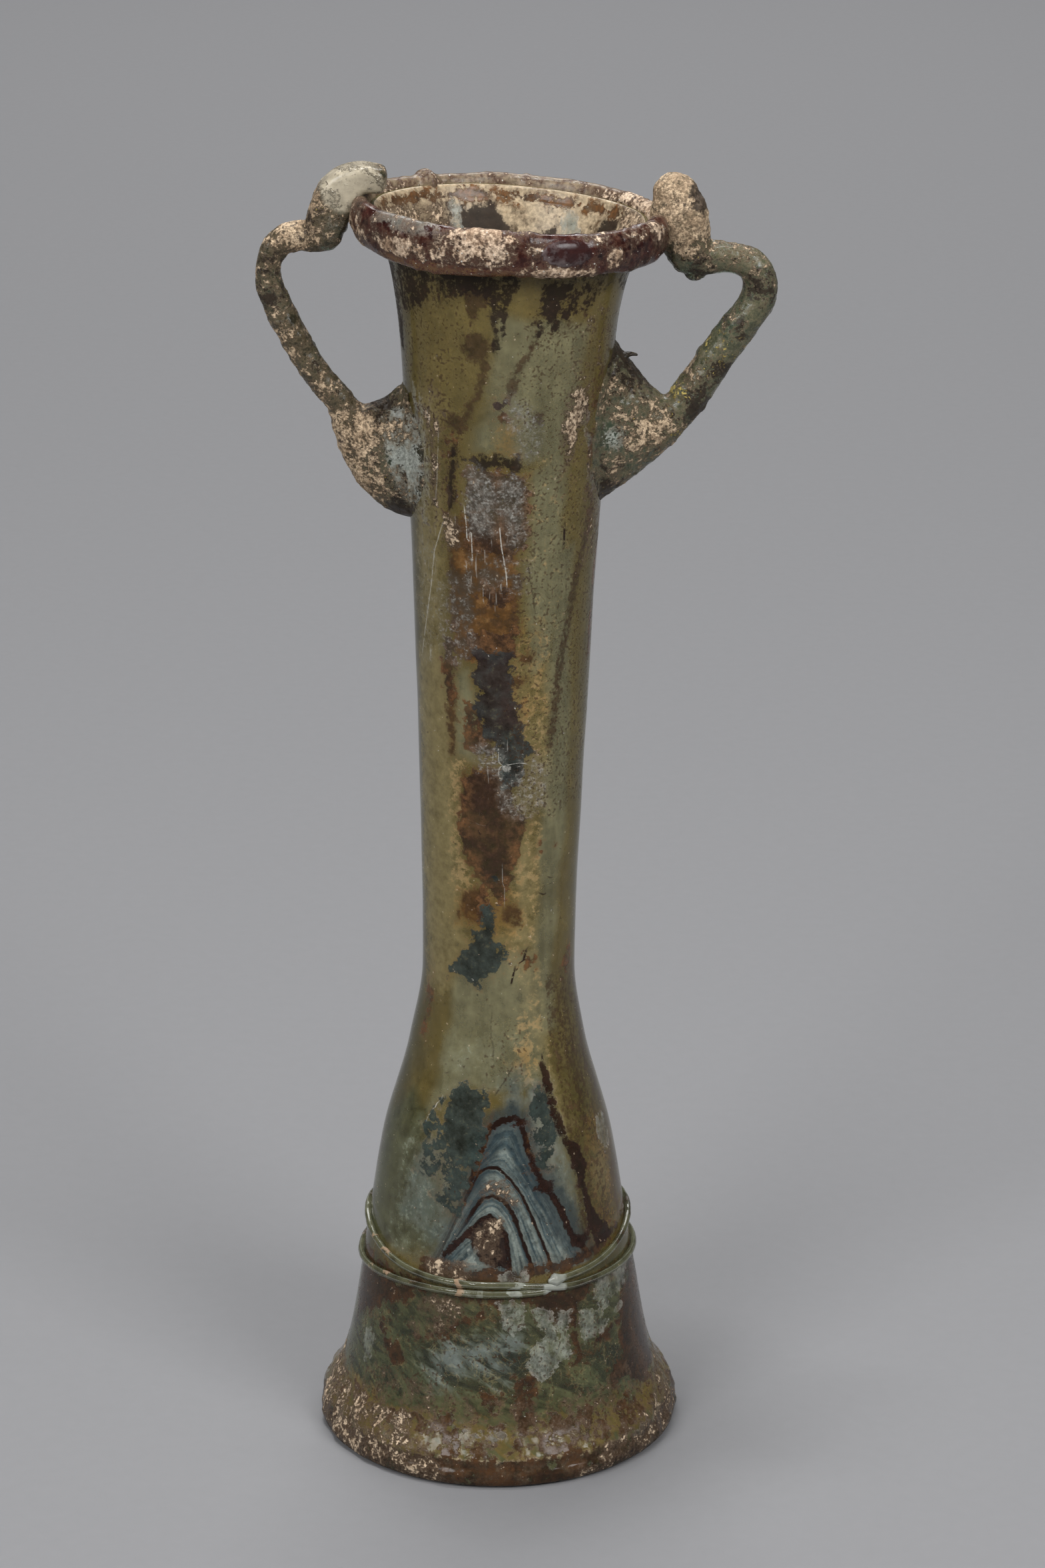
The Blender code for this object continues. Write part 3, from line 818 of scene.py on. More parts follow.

# The broad brown patch at turns 42 to 86 and levels 34 to 72 is painted shade on the right of the body; the
# other blurred brown marks are stains.
NECK_MARKS = """
patch cream 1.2: -66,68 -76,90 -74,118 -44,122 -30,112 -34,100 -30,88 -28,76 -42,70
patch cream 2: 8,76 10,92 18,96 27,90 22,74 18,77
patch fleck -0.6: 8,76 9,90 14,104 14,122 28,122 27,98 26,88 22,74 17,77
patch fleck -1.4: 12,124 12,148 42,148 38,124
patch fleck 0: -34,86 -34,104 -29,104 -29,90 -22,86 -14,84 -24,82
patch fleck 0.2: 16,66 22,64 24,56 14,58
patch fleck -0.8: 24,74 28,70 33,58 40,50 46,50 40,58 33,68
streak cream 1.6 1: 17,82 21,76 23,72 26,68
patch cream -0.2: 12,96 9,120 30,118 32,98
spot cream 0.6 1.6 1.1: -24,77
spot cream 1.5 1.3 0.5: 0,78.1
patch haze: -33,105 -31,117 -24,117.5 -20,112 -21,105
patch haze 2: 22,62 28,80 32,110 28,135 46,135 52,100 44,64
patch ochre: -36,80 -30,84.8 -6,86 12,85.5 17,81 8,79 -10,79.5
patch rust 0.8: -34,80.6 -28,85 -12,86 -4,83 -14,80.4
patch rust 0.2: 3,81 8,84.6 15,83.4 15,80.4
patch film: -27,102 -20,103.5 5,103 8,101 10,98 19,96.5 18,94 12,90.5 10,87 6,84.5 0,84 -8,84.5 -12,87
    -18,87.5 -25,90 -29,91 -32,94 -30,97
patch rust 1.6: -31,98 -28,103 -10,104.5 9,103 8,99 -12,97
streak film 0.6 0.6: -12,88 -13,81.5
streak cream 0.5 0.4: -8.5,88.5 -8.5,83
patch ink: -20,121 8,120.5 6,118 8,115 10,113 12,110.5 14,108.5 17,107 23,106.3 17,105.2 19,102.5 10,100.5
    1,101.5 -2,105 -4,107 -10,108 -17,111 -19,116
patch film 0.7: -26,106 -26,113 -18,113 -10,110.5 -3,109 -3,104.5 -14,105.5
patch ink: -22,80 -15,79.5 -12,83 -4,83 -3,78.5 0,77 6,77 3,74.5 -3,73 -10,72 -14,70.8 -22,71.5 -30,72.5
    -42,72 -33,74 -28,75.5 -22,77
spot ink 1 0.8 0.8: -3,87.6
patch frost 0: -18,106 -13,107 0,106.8 2,104 -3,102.8 -15,104
patch frost 0.1: 0,101.5 8,99.5 15,104.5 24,105 32,102 31,98 21,96.5 10,96.8 2,98.5
patch rust 1: -38,104 -40,113 -34,117 -32,112 -33,105
patch film 1: -42,114 -43,121 -33,125 -31,119 -34,112
patch rust 2.6: -34,120 -37,128 -35,137 -28,141 -10,140 6,139 11,132 9,124 5,119 -20,118.5
patch film 0.9: -20,119 -24,123.5 8,124 9,119
patch film 1.2: -17,128.3 -14,130.4 3,130.2 5,127.4 -8,127.2
patch frost -0.6: -21,130 -20,134 0,134 13,133 12,129.8 -4,130.6
patch frost -0.3: -43,120 -44,129 -34,131 -24,128 -21,122 -30,118.5
patch film 1: -24,135 -24,147 -4,147 12,146 13,136 0,134
patch haze: 16,124 16,146 34,150 40,132 34,120 22,118
patch ochre 1: -4,149 -2,153.5 6,153 6,149
patch frost 0: 3,156.8 9,155.5 15,154.2 18,152.8 18,150.2 13,148 6.5,149.8 6.5,152.5 2.5,153.2
patch soot 2: -26,148.2 -19,148.8 -10,148.8 -5.5,149.5 -1.5,149 5,148.5 9.5,149.2 9,148 13,147 10,146.2
    3.5,146.5 -1.5,147.2 -12.5,146.8 -22.5,147.5
patch ochre 2: -13,145 -12.5,146.8 3.5,146.6 11,146 9,144.8
patch frost 0.5: -22.5,146.8 -17.5,147 -9.5,145.8 -7,144.2 -6,141.8 -8,137.5 -20,138 -24,141.5 -22,144
patch frost 0.4: -3,145.5 7,145.8 11,144.2 9,141.8 12,137 4,136 2,139 -4.5,141.8
patch ochre -0.5: 6,112 7,124 22,124 26,112
streak shadow 0.3 0.7: 66,146 61,138 55,133 48,127 42,121 38,114 35,107
patch shadow 0: 42,34 40,60 38,72 86,72 86,34
spot shadow 1 1 1.2: 18,154
patch soot 0.3: -92,163 -74,161 -70,168 -66,167 -59.5,167 -52.5,168.4 -48.5,168 -46.5,169 -41.5,170
    -38,168.6 -33.5,170.2 -31.5,169.2 -24.5,170.8 -23,170.4 -20,171.4 -8,170.6 -8,169.6 -5.5,168.4
    -3.5,167.6 -3.5,165 -1.5,165.5 0,168.8 1,170 3,171.5 5,172.5 5,176 -92,176
patch soot -0.15: 14,176 16,171.5 15.5,169.5 13,168 12,166.8 18,167.2 26,168.2 32,168.2 38,168.5 44,169
    48.5,170.5 60,171.5 92,168 92,176
patch soot 0.9: 17,173 16,168.8 20,168 24,169.6 29,170.6 32,173
streak soot 0.3 0.4: 30,172 25,169.5 20,167.5 15,165.6
streak soot 0.1 0.4: 38,172 33,169.5 28,167.8 24,166.6
patch shadow 1.2: -23,171.8 -22,170.2 -20.5,167.8 -18,167 -15,168 -13.5,169.2 -8,170.8 -9,172.2
patch shadow -0.2: 16,172 13,168 12,166.5 18,166 30,165.5 42,167 46,171
streak soot 0.3 0.3: -8,168.5 -6.5,167.2 -6,166 -7,164.5 -6.5,163.5
streak soot 0.3 0.25: -4.5,165.5 -5,164.5 -6,163.5
spot shadow 1.2 2.3 2: -16.5,164
patch shadow 0.9: -14,163 -9.5,163 -8.5,161.8 -10.5,160 -9.5,159.8 -12,158.5 -13.5,157.2 -15,156 -18,155.8
    -20,154.2 -22,152.2 -24,152.2 -24.5,154 -23,155.5 -17.5,157.2 -16.5,158.2 -15,160 -15.5,161.2
patch shadow 0.9: 22.5,167.8 17.5,166.2 16.5,164.8 13.5,164 10,162 8,161 5.5,159.8 6,158 3,157.2 1.5,156
    -1.5,156 0.5,157.8 -1,158.5 2.5,160.5 5.5,161.8 10,163 12,164.5 15.5,165.8 19,167
spot shadow 1 1.6 1.4: -29.5,153
spot film 0.8 0.9 0.8: -2.5,154.2
spot ink 0.6 0.7 0.6: -3,155.8
streak soot 0.5 0.5: -30.5,149.5 -31.5,147.8 -33.5,145.8 -34,141
streak soot -0.6 1.6: 64,170 66,160 62,150
patch soot 1.2: 92,170 110,165 150,168 200,166 250,168 268,166 268,176 92,176
patch haze 5: -22,149 -13,156 -7,164 -4,168 24,168 44,166 46,154 30,148 8,148 -8,149
patch cream 0.6: -62,116 -63,138 -56,156 -44,156 -40,140 -48,124
patch frost -0.7: -64,118 -66,136 -60,154 -52,154 -50,136 -56,118
patch scratch 1.5: -36,128 -34,142 8,141 8,126 -20,124
patch scratch 1: -64,118 -62,158 -44,158 -46,118
patch scratch 0.8: -14,96 -14,108 14,108 14,96
patch speck: 2,96 4,168 84,168 84,96
patch speck 3: -80,138 -80,172 -16,172 -20,160 -30,138
patch speck 0.6: -8,57 -8,66 20,66 20,57
patch crust -0.9: -56,137 -54,157 -44,158 -38,152 -38,140 -44,135
patch crust 1.6: -39,135.6 -38,139.6 -31,139.4 -30,136
patch film 0: -40,140 -38,152 -32,151 -30,141
patch crust -0.9: 34,143 37,153 40,162 52,168 72,166 72,150 48,151 44,145
patch crust -0.5: 60,132 56,146 62,154 80,154 80,134
patch pale 1.2: -60,153.5 -54.5,150.8 -52.5,148.2 -47,145.8 -51.5,142.8 -54.5,140.2 -60,140
patch crust 1.4: -51,154 -45.5,153.2 -40,152.2 -42.5,151.2 -48,152 -51.5,152.5
streak pale 1.6 0.4: -62,157 -60,150 -58,142 -56,138
streak pale 1.4 0.3: -56,156 -54,148 -52,142
streak crust 1.4 0.35: -46,151 -45,146 -46,141
streak film 1 0.25: -60.5,154.5 -58,153.5 -59,152.5
patch crust 1.2: 41.5,157.5 48.5,156.8 50,155.5 46.5,153.2 43.5,151.2 42,149.5 39.5,147.5 35,150 32.5,151.8
    34.5,154.5 38,156
streak pale 1.2 0.5: 48.5,154.5 50,153 49,152 53.5,149.5
streak film 0.5 0.2: 50,156 51.5,153 50.5,151 55,148.5
patch pale 2: 54.5,146 61,145.5 73,143.5 70,142 59.5,142.2 54,144.2
streak film 0.25 0.35: 58,158 57,150 58,142 62,136
streak film 0.5 1: 88,138 80,128 76,118
streak film 0 0.7: 18,75.6 24,74.6
spot film 0.2 1.2 1.8: 64,73
streak film -0.15 0.6: 20,91.3 40,92
spot rust 0.3 1.4 0.8: 10,116.6
spot rust 0.2 1.2 1: 16,120
spot film 0 0.8 3: -62,66.5
streak soot 0 1.4: 88,170 84,160 80,150
patch rust -0.9: -90,140 -90,164 -60,160 -42,158 -44,140
"""

MOUTH_MARKS = """
belt dust: 0,158 0,182
belt cream 0.35: 0,175.4 0,176.8
belt film 0.5: 0,177.1 0,178.4
patch crust 0.3: -90,168 -90,177.6 -128,176.6 -146,176.6 -150,168
patch soot 0.3: -140,168 -140,177 -150,177 -152,168
streak pale 0.5 0.5: -153,177 -153,167
patch soot 2.5: -153,166 -153,173 -157,176.2 -172,176.6 -180,174 -182,170 -186,166
patch haze: -170,170 -176,177 -202,177 -208,174 -196,170
patch pale 1.4: -207,172 -206,176.6 -213,176.8 -217,174.6 -214,171.4
patch soot 1.6: -186,166 -188,170.6 -194,169.6 -197,173.6 -204,174.6 -206,171.4 -214,171 -220,172.4
    -226,170 -226,166
spot cream 1.2 1.6 0.7: -221,175.4
patch soot 1.4: -229,168 -230,176.6 -242,177 -242,168
patch crust 1.2: -243,168 -243,179 -270,179 -280,179 -280,168
"""


def plain_back_marks(seed: int) -> list[Mark]:
    """Draws quiet stains for the hidden side.

    Args:
        seed: Fixes the places of the stains.

    Returns:
        Marks from the right side round the back to the left side.
    """
    kinds = ((Coat.CREAM, 12, 0.4), (Coat.RUST, 7, 0.0), (Coat.FILM, 8, 0.4), (Coat.INK, 3, 1.0),
             (Coat.FROST, 3, -0.5), (Coat.HAZE, 10, 3.0), (Coat.OCHRE, 8, -0.1), (Coat.GREEN, 6, 2.0),
             (Coat.CRUST, 7, -0.5), (Coat.BLUE, 5, 1.0), (Coat.SHADOW, 9, -0.2))
    right_turn, left_turn = 104.0, 256.0
    bottom, body_top, neck_top = 12.0, 60.0, 164.0
    draw = np.random.default_rng(seed)
    marks: list[Mark] = []
    for coat, count, cap in kinds:
        for _ in range(count):
            turn = draw.uniform(right_turn, left_turn)
            level = draw.uniform(bottom, body_top if coat in (Coat.BLUE, Coat.GREEN) else neck_top)
            corners = int(draw.integers(7, 12))
            wide = draw.uniform(8.0, 24.0)
            tall = draw.uniform(4.0, 16.0)
            lean = draw.uniform(-1.2, 1.2)
            outline = []
            for corner in range(corners):
                angle = math.tau * corner / corners
                size = draw.uniform(0.45, 1.15)
                rise = tall * size * math.sin(angle)
                outline.append((turn + wide * size * math.cos(angle) + lean * rise, level + rise))
            marks.append(Patch(coat, tuple(outline), False, cap))
    return marks


def operator(operation: str, turned: bool = False) -> Callable[["Value", "Value | float"], "Value"]:
    """Makes a method of Value that adds one Math node.

    Args:
        operation: The node's operation.
        turned: True to give the node the other value first.

    Returns:
        The method.
    """

    def method(self: "Value", other: "Value | float") -> "Value":
        """Returns the result of the operation on the two values."""
        first, second = (other, self) if turned else (self, other)
        return self.nodes.node("ShaderNodeMath", {"operation": operation}, {0: first, 1: second})

    return method


class Value:
    """One output of a node. Arithmetic on it adds Math nodes."""

    __add__ = __radd__ = operator("ADD")
    __mul__ = __rmul__ = operator("MULTIPLY")
    __sub__ = operator("SUBTRACT")
    __rsub__ = operator("SUBTRACT", True)
    __rtruediv__ = operator("DIVIDE", True)
    most = operator("MAXIMUM")

    def __init__(self, nodes: "Nodes", socket: bpy.types.NodeSocket) -> None:
        """Keeps the socket and the nodes that it belongs to."""
        self.nodes = nodes
        self.socket = socket

    def __neg__(self) -> "Value":
        """Returns the value with its sign turned."""
        return self * -1.0

    def size(self) -> "Value":
        """Returns the value without its sign."""
        return self.nodes.node("ShaderNodeMath", {"operation": "ABSOLUTE"}, {0: self})

    def eased(self, low: float = 0.3, high: float = 0.7) -> "Value":
        """Returns 0 at low and below, 1 at high and above, and a smooth curve between."""
        settings = {"interpolation_type": "SMOOTHSTEP"}
        return self.nodes.node("ShaderNodeMapRange", settings, {0: self, 1: low, 2: high})


class Nodes:
    """A node tree that grows by one node at a time."""

    def __init__(self, tree: bpy.types.NodeTree) -> None:
        """Keeps the tree."""
        self.tree = tree

    def node(self, kind: str, settings: dict, sockets: dict, output: int | str = 0) -> Value:
        """Adds a node.

        Args:
            kind: The node's type.
            settings: What is set on the node before its sockets.
            sockets: A value or a link for each named or numbered input.
            output: The output to return.

        Returns:
            The chosen output.
        """
        made = self.tree.nodes.new(kind)
        for name, setting in settings.items():
            setattr(made, name, setting)
        for key, value in sockets.items():
            target = made.inputs[key]
            if isinstance(value, Value):
                self.tree.links.new(value.socket, target)
            elif target.type == "RGBA":
                target.default_value = (*value, 1.0)
            else:
                target.default_value = value
        return Value(self, made.outputs[output])

    def end(self, kind: str, result: Value) -> None:
        """Adds an output node and links the result to its first input."""
        self.tree.links.new(result.socket, self.tree.nodes.new(kind).inputs[0])


class Recipe(Nodes):
    """The node tree of one material."""

    def __init__(self, name: str) -> None:
        """Starts an empty tree with the place on the object in millimetres.

        Args:
            name: The material's name.
        """
        self.material = bpy.data.materials.new(name)
        self.material.use_nodes = True
        super().__init__(self.material.node_tree)
        self.tree.nodes.clear()
        where = self.node("ShaderNodeTexCoord", {}, {}, "Object")
        self.place = self.node("ShaderNodeVectorMath", {"operation": "SCALE"},
                               {0: where, "Scale": 1.0 / METRES_PER_MM})

    def height(self) -> Value:
        """Returns the level above the table in millimetres."""
        return self.node("ShaderNodeSeparateXYZ", {}, {0: self.place}, "Z")

    def scaled(self, size: float, stretch: tuple, shift: float, tilt: float = 0.0) -> Value:
        """Scales the place for a noise.

        Args:
            size: The width of a lump in millimetres.
            stretch: How much finer it is along each axis.
            shift: Moves the pattern.
            tilt: How far it leans in the picture's plane, in radians.

        Returns:
            The place measured in lumps.
        """
        sockets = {"Vector": self.place, "Location": (shift, shift, shift), "Rotation": (0.0, tilt, 0.0)}
        if tilt:
            sockets["Scale"] = tuple(size / part for part in stretch)
            return self.node("ShaderNodeMapping", {"vector_type": "TEXTURE"}, sockets)
        sockets["Scale"] = tuple(part / size for part in stretch)
        return self.node("ShaderNodeMapping", {"vector_type": "POINT"}, sockets)

    def grain(self, size: float, detail: float = 3.0, roughness: float = 0.55,
              stretch: tuple = (1.0, 1.0, 1.0), shift: float = 0.0, bend: float = 0.0,
              tilt: float = 0.0) -> Value:
        """Adds fractal noise.

        Args:
            size: The width of the largest lumps in millimetres.
            detail: How many finer octaves are added.
            roughness: How strong the finer octaves are.
            stretch: How much finer the noise is along each axis.
            shift: Moves the pattern, so that two of one size differ.
            bend: How much the pattern swirls.
            tilt: How far the pattern leans in the picture's plane, in radians.

        Returns:
            Noise from 0 to 1.
        """
        return self.noise(self.scaled(size, stretch, shift, tilt), detail, roughness, bend)

    def noise(self, where: Value, detail: float, roughness: float, bend: float = 0.0) -> Value:
        """Adds a noise node.

        Args:
            where: A vector that is measured in lumps.
            detail: How many finer octaves are added.
            roughness: How strong the finer octaves are.
            bend: How much the pattern swirls.

        Returns:
            Fractal noise from 0 to 1.
        """
        sockets = {"Vector": where, "Scale": 1.0, "Detail": detail, "Roughness": roughness,
                   "Distortion": bend}
        return self.node("ShaderNodeTexNoise", {"noise_dimensions": "3D"}, sockets, "Fac")

    def cells(self, size: float, shift: float) -> Value:
        """Returns the distance to the nearest of scattered points about size millimetres apart."""
        sockets = {"Vector": self.scaled(size, (1.0, 1.0, 1.0), shift), "Scale": 1.0}
        return self.node("ShaderNodeTexVoronoi", {"feature": "F1"}, sockets, "Distance")

    def painted(self, name: str) -> Value:
        """Returns the named attribute of the mesh."""
        return self.node("ShaderNodeAttribute", {"attribute_name": name}, {}, "Fac")

    def coat(self, coat: Coat) -> Value:
        """Returns the painted depth of one coat, in millimetres."""
        return self.painted("coat_" + coat.value)

    def ragged(self, coat: Coat, noise: Value, per_mm: float, soft: float) -> Value:
        """Breaks a coat's edge up with noise.

        Args:
            coat: The coat whose depth is read.
            noise: Noise from 0 to 1.
            per_mm: How fast cover is won with depth. A high number gives a crisp edge.
            soft: Half the width of the edge's fade.

        Returns:
            The share of the surface that the coat covers, from 0 to 1.
        """
        return (self.coat(coat) * per_mm + noise).eased(0.5 - soft, 0.5 + soft)

    def blend(self, share: Value | float, under: Value | Colour, over: Value | Colour) -> Value:
        """Returns the colour a share of the way from under to over."""
        return self.node("ShaderNodeMix", {"data_type": "RGBA"}, {0: share, 6: under, 7: over}, 2)

    def between(self, share: Value, under: Value | float, over: Value | float) -> Value:
        """Returns the number a share of the way from under to over."""
        return self.node("ShaderNodeMix", {"data_type": "FLOAT"}, {0: share, 2: under, 3: over}, 0)

    def tinted(self, colour: Value | Colour, factor: Value) -> Value:
        """Returns the colour made lighter or darker by a factor."""
        return self.node("ShaderNodeVectorMath", {"operation": "SCALE"}, {0: colour, "Scale": factor})


@dataclass(frozen=True)
class Skin:
    """What the layers of a finish have added up to so far.

    Relief is in millimetres. Cover is 0 for bare glass and 1 for an opaque deposit.
    """

    recipe: Recipe
    colour: Value
    roughness: Value
    relief: Value
    cover: Value

    def coated(self, share: Value, colour: Value | Colour, roughness: float, cover: float,
               relief: Value | float = 0.0) -> "Skin":
        """Lays one more deposit over the skin.

        Args:
            share: Where the deposit lies, from 0 to 1.
            colour: Its colour.
            roughness: Its roughness.
            cover: How opaque it is.
            relief: How far it stands up, in millimetres.

        Returns:
            The skin with the deposit on it.
        """
        make = self.recipe
        return Skin(
            make,
            make.blend(share, self.colour, colour),
            make.between(share, self.roughness, roughness),
            self.relief + share * relief,
            make.between(share, self.cover, cover),
        )

    def crusted(self, gathered: Value, noises: tuple[Value, Value, Value],
                tones: tuple[Colour, Colour, Colour], lift: float) -> "Skin":
        """Lays dried dirt over the skin, thin and brown toward its edges.

        Args:
            gathered: How much dirt lies there, 0.5 at its edge.
            noises: Fine, middling and large noise, which mottle it.
            tones: Its colours where it is thin, thicker and thickest.
            lift: How far its finest grains stand up, in millimetres.

        Returns:
            The skin with the dirt on it.
        """
        make = self.recipe
        fine, crumb, lump = noises
        thin, thicker, thickest = tones
        dirt = make.blend(crumb.eased(0.36, 0.54), thin, thicker)
        dirt = make.blend((fine * 0.5 + lump * 0.5).eased(0.44, 0.62), dirt, thickest)
        dirt = make.tinted(dirt, 0.45 + 0.9 * fine.eased())
        dusted = self.coated(gathered.eased(0.40, 0.51) * 0.75, thin, 0.4, 0.95)
        relief = 0.03 + lift * fine + 0.1 * crumb
        return dusted.coated(gathered.eased(0.495, 0.55) * 0.95, dirt, 0.7, 1.0, relief)

    def material(self, tint: Colour, gloss: float) -> bpy.types.Material:
        """Ends the material with a glass shader and an opaque one, mixed by the cover.

        Args:
            tint: The colour of the light that the bare glass lets through.
            gloss: The specular level of the opaque deposit.

        Returns:
            The finished material.
        """
        make = self.recipe
        bump = {"Height": self.relief, "Distance": METRES_PER_MM, "Strength": 1.0}
        normal = make.node("ShaderNodeBump", {}, bump, "Normal")
        solid = {"Base Color": self.colour, "Roughness": self.roughness, "IOR": DEPOSIT_IOR, "Normal": normal,
                 "Specular IOR Level": gloss}
        clear = {"Base Color": tint, "Roughness": self.roughness, "IOR": GLASS_IOR, "Normal": normal,
                 "Transmission Weight": 1.0}
        bare = make.node("ShaderNodeBsdfPrincipled", {}, clear, "BSDF")
        crusted = make.node("ShaderNodeBsdfPrincipled", {}, solid, "BSDF")
        mixed = make.node("ShaderNodeMixShader", {}, {0: self.cover, 1: bare, 2: crusted}, "Shader")
        make.end("ShaderNodeOutputMaterial", mixed)
        return make.material


@dataclass(frozen=True)
class Noises:
    """The noise fields that a finish reads, from fine to broad."""

    fine: Value
    crumb: Value
    lump: Value
    broad: Value
    drawn: Value
    torn: Value
    grit: Value
    rough_edge: Value
    fine_tone: Value
    crumb_tone: Value
    lump_tone: Value


@dataclass(frozen=True)
class WeatheredGlass:
    """The vessel's finish: olive glass under films, stains, frost and crust."""

    tint: Colour = (0.72, 0.62, 0.30)
    olive: Colour = (0.232, 0.178, 0.060)
    brown_olive: Colour = (0.135, 0.098, 0.028)
    # A dark olive that stands in for shade toward the vessel's sides.
    side_shade_olive: Colour = (0.052, 0.050, 0.016)
    grey_green: Colour = (0.240, 0.225, 0.125)
    cream: Colour = (0.350, 0.285, 0.135)
    peach: Colour = (0.390, 0.270, 0.125)
    ochre: Colour = (0.260, 0.150, 0.040)
    rust: Colour = (0.185, 0.080, 0.021)
    amber: Colour = (0.230, 0.120, 0.042)
    dark_rust: Colour = (0.050, 0.024, 0.010)
    umber: Colour = (0.046, 0.025, 0.013)
    plum_brown: Colour = (0.022, 0.012, 0.008)
    orange_brown: Colour = (0.150, 0.068, 0.024)
    blue_black: Colour = (0.020, 0.013, 0.012)
    teal_black: Colour = (0.012, 0.020, 0.019)
    slate_green: Colour = (0.018, 0.025, 0.022)
    ink_light: Colour = (0.130, 0.120, 0.065)
    blue_grey: Colour = (0.200, 0.230, 0.205)
    deep_blue: Colour = (0.040, 0.066, 0.076)
    slate: Colour = (0.024, 0.036, 0.042)
    deep_green: Colour = (0.026, 0.030, 0.020)
    moss: Colour = (0.098, 0.106, 0.052)
    mist: Colour = (0.290, 0.320, 0.240)
    red_brown: Colour = (0.014, 0.006, 0.004)
    soot: Colour = (0.010, 0.006, 0.004)
    frost: Colour = (0.165, 0.158, 0.138)
    rime: Colour = (0.400, 0.390, 0.350)
    white: Colour = (0.600, 0.580, 0.520)
    pale_film: Colour = (0.310, 0.330, 0.280)
    dust: Colour = (0.440, 0.345, 0.230)
    dust_brown: Colour = (0.120, 0.080, 0.050)
    crust_brown: Colour = (0.100, 0.066, 0.042)
    tan: Colour = (0.300, 0.210, 0.135)
    pale_crust: Colour = (0.560, 0.435, 0.305)

    def veined(self, skin: Skin, noises: Noises) -> Skin:
        """Lays the agate bands and dark veins of the body's arches over the skin.

        Args:
            skin: The skin so far.
            noises: The noise fields that make them waver.

        Returns:
            The skin with its arches.
        """
        make = skin.recipe
        strength = make.painted("arch_strength")
        swing = make.painted("arch_nest") * 5.0 + (noises.crumb - 0.5) * 0.9
        where = make.node("ShaderNodeCombineXYZ", {}, {0: swing, 1: make.height() * 0.07, 2: 3.7})
        band = make.noise(where, 4.0, 0.62)
        colour = make.blend(band.eased(0.36, 0.62), self.deep_blue, self.blue_grey)
        colour = make.tinted(colour, 0.55 + 0.9 * noises.crumb_tone)
        reach = (-make.painted("arch_3") + (noises.lump - 0.5) * 3.0).eased(-1.2, 1.0)
        within = reach * strength.eased(0.0, 0.35)
        skin = skin.coated(within * 0.92, colour, 0.13, 0.88)
        beyond = (2.4 - make.painted("arch_3").size() + (noises.lump - 0.5) * 4.0).eased(-1.0, 1.2)
        skin = skin.coated(beyond * strength * 0.75, self.slate, 0.13, 0.88)
        for index, width in enumerate((0.32, 0.30, 0.22, 0.50)):
            wavering = width * (0.35 + 1.3 * noises.crumb.eased(0.25, 0.75))
            line = (wavering - make.painted(f"arch_{index}").size()).eased(-0.10, 0.10)
            skin = skin.coated(line * strength, self.red_brown, 0.3, 0.97, -0.02)
        return skin

    def material(self) -> bpy.types.Material:
        """Makes the material.

        Returns:
            The finished material.
        """
        make = Recipe("weathered_olive_glass")
        fine = make.grain(0.5, 4.0, 0.62)
        crumb = make.grain(1.2, 6.0, 0.70, shift=11.0)
        lump = make.grain(3.0, 6.0, 0.66, shift=23.0)
        broad = make.grain(9.0, 4.0, 0.55, shift=31.0)
        drawn = make.grain(2.0, 5.0, 0.62, stretch=(1.0, 1.0, 0.12), shift=41.0)
        torn = crumb * 0.5 + lump * 0.5
        grit = crumb * 0.55 + fine * 0.45
        rough_edge = 0.5 + (torn - 0.5) * 1.5 - (make.cells(1.5, shift=33.0) - 0.45) * 0.22
        noises = Noises(fine, crumb, lump, broad, drawn, torn, grit, rough_edge, fine.eased(), crumb.eased(),
                        lump.eased(0.32, 0.68))
        skin = self.glass(make, noises)
        skin = self.marbled(skin, noises)
        skin = self.veined(skin, noises)
        skin = self.stained(skin, noises)
        skin = self.frosted(skin, noises)
        skin = self.scraped(skin, noises)
        return skin.material(self.tint, 0.3)

    def glass(self, make: Recipe, noises: Noises) -> Skin:
        """Makes the bare glass: olive, with painted shade that darkens it toward its sides, and a soft grey
        haze.

        Args:
            make: The material's recipe.
            noises: The noise fields that break its edges up.

        Returns:
            The bare skin.
        """
        striae = make.grain(1.6, 3.0, 0.6, stretch=(0.10, 0.10, 1.0), shift=53.0)
        tone = make.blend(noises.drawn.eased(0.34, 0.72) * 0.8, self.olive, self.brown_olive)
        haze = make.ragged(Coat.HAZE, noises.broad, 0.22, 0.25)
        tone = make.blend(haze * 0.92, tone, self.grey_green)
        # Painted shade: the edge attribute darkens the glass toward its sides.
        tone = make.blend(make.painted("edge") * 0.9, tone, self.side_shade_olive)
        grimy = (noises.drawn * 0.6 + noises.crumb * 0.4).eased(0.38, 0.62)
        colour = make.tinted(tone, 0.62 + 0.30 * noises.lump_tone + 0.36 * grimy)
        relief = (striae - 0.5) * 0.02 + (noises.lump - 0.5) * 0.03
        # The painted shade at the sides also makes the glass more opaque there.
        cover = 0.62 + 0.2 * (noises.broad.eased() - 0.5) + 0.25 * make.painted("edge")
        skin = Skin(make, colour, 0.12 + 0.10 * noises.crumb, relief, cover)
        glow = make.ragged(Coat.CREAM, noises.torn, 0.09, 0.20)
        skin = skin.coated(glow * 0.7, make.tinted(self.cream, 0.65 + 0.6 * noises.crumb), 0.18, 0.85)
        flecks = make.ragged(Coat.FLECK, noises.crumb * 0.75 + noises.fine * 0.25, 0.07, 0.05)
        return skin.coated(flecks * 0.75, make.tinted(self.peach, 0.6 + 0.8 * noises.fine), 0.25, 0.9)

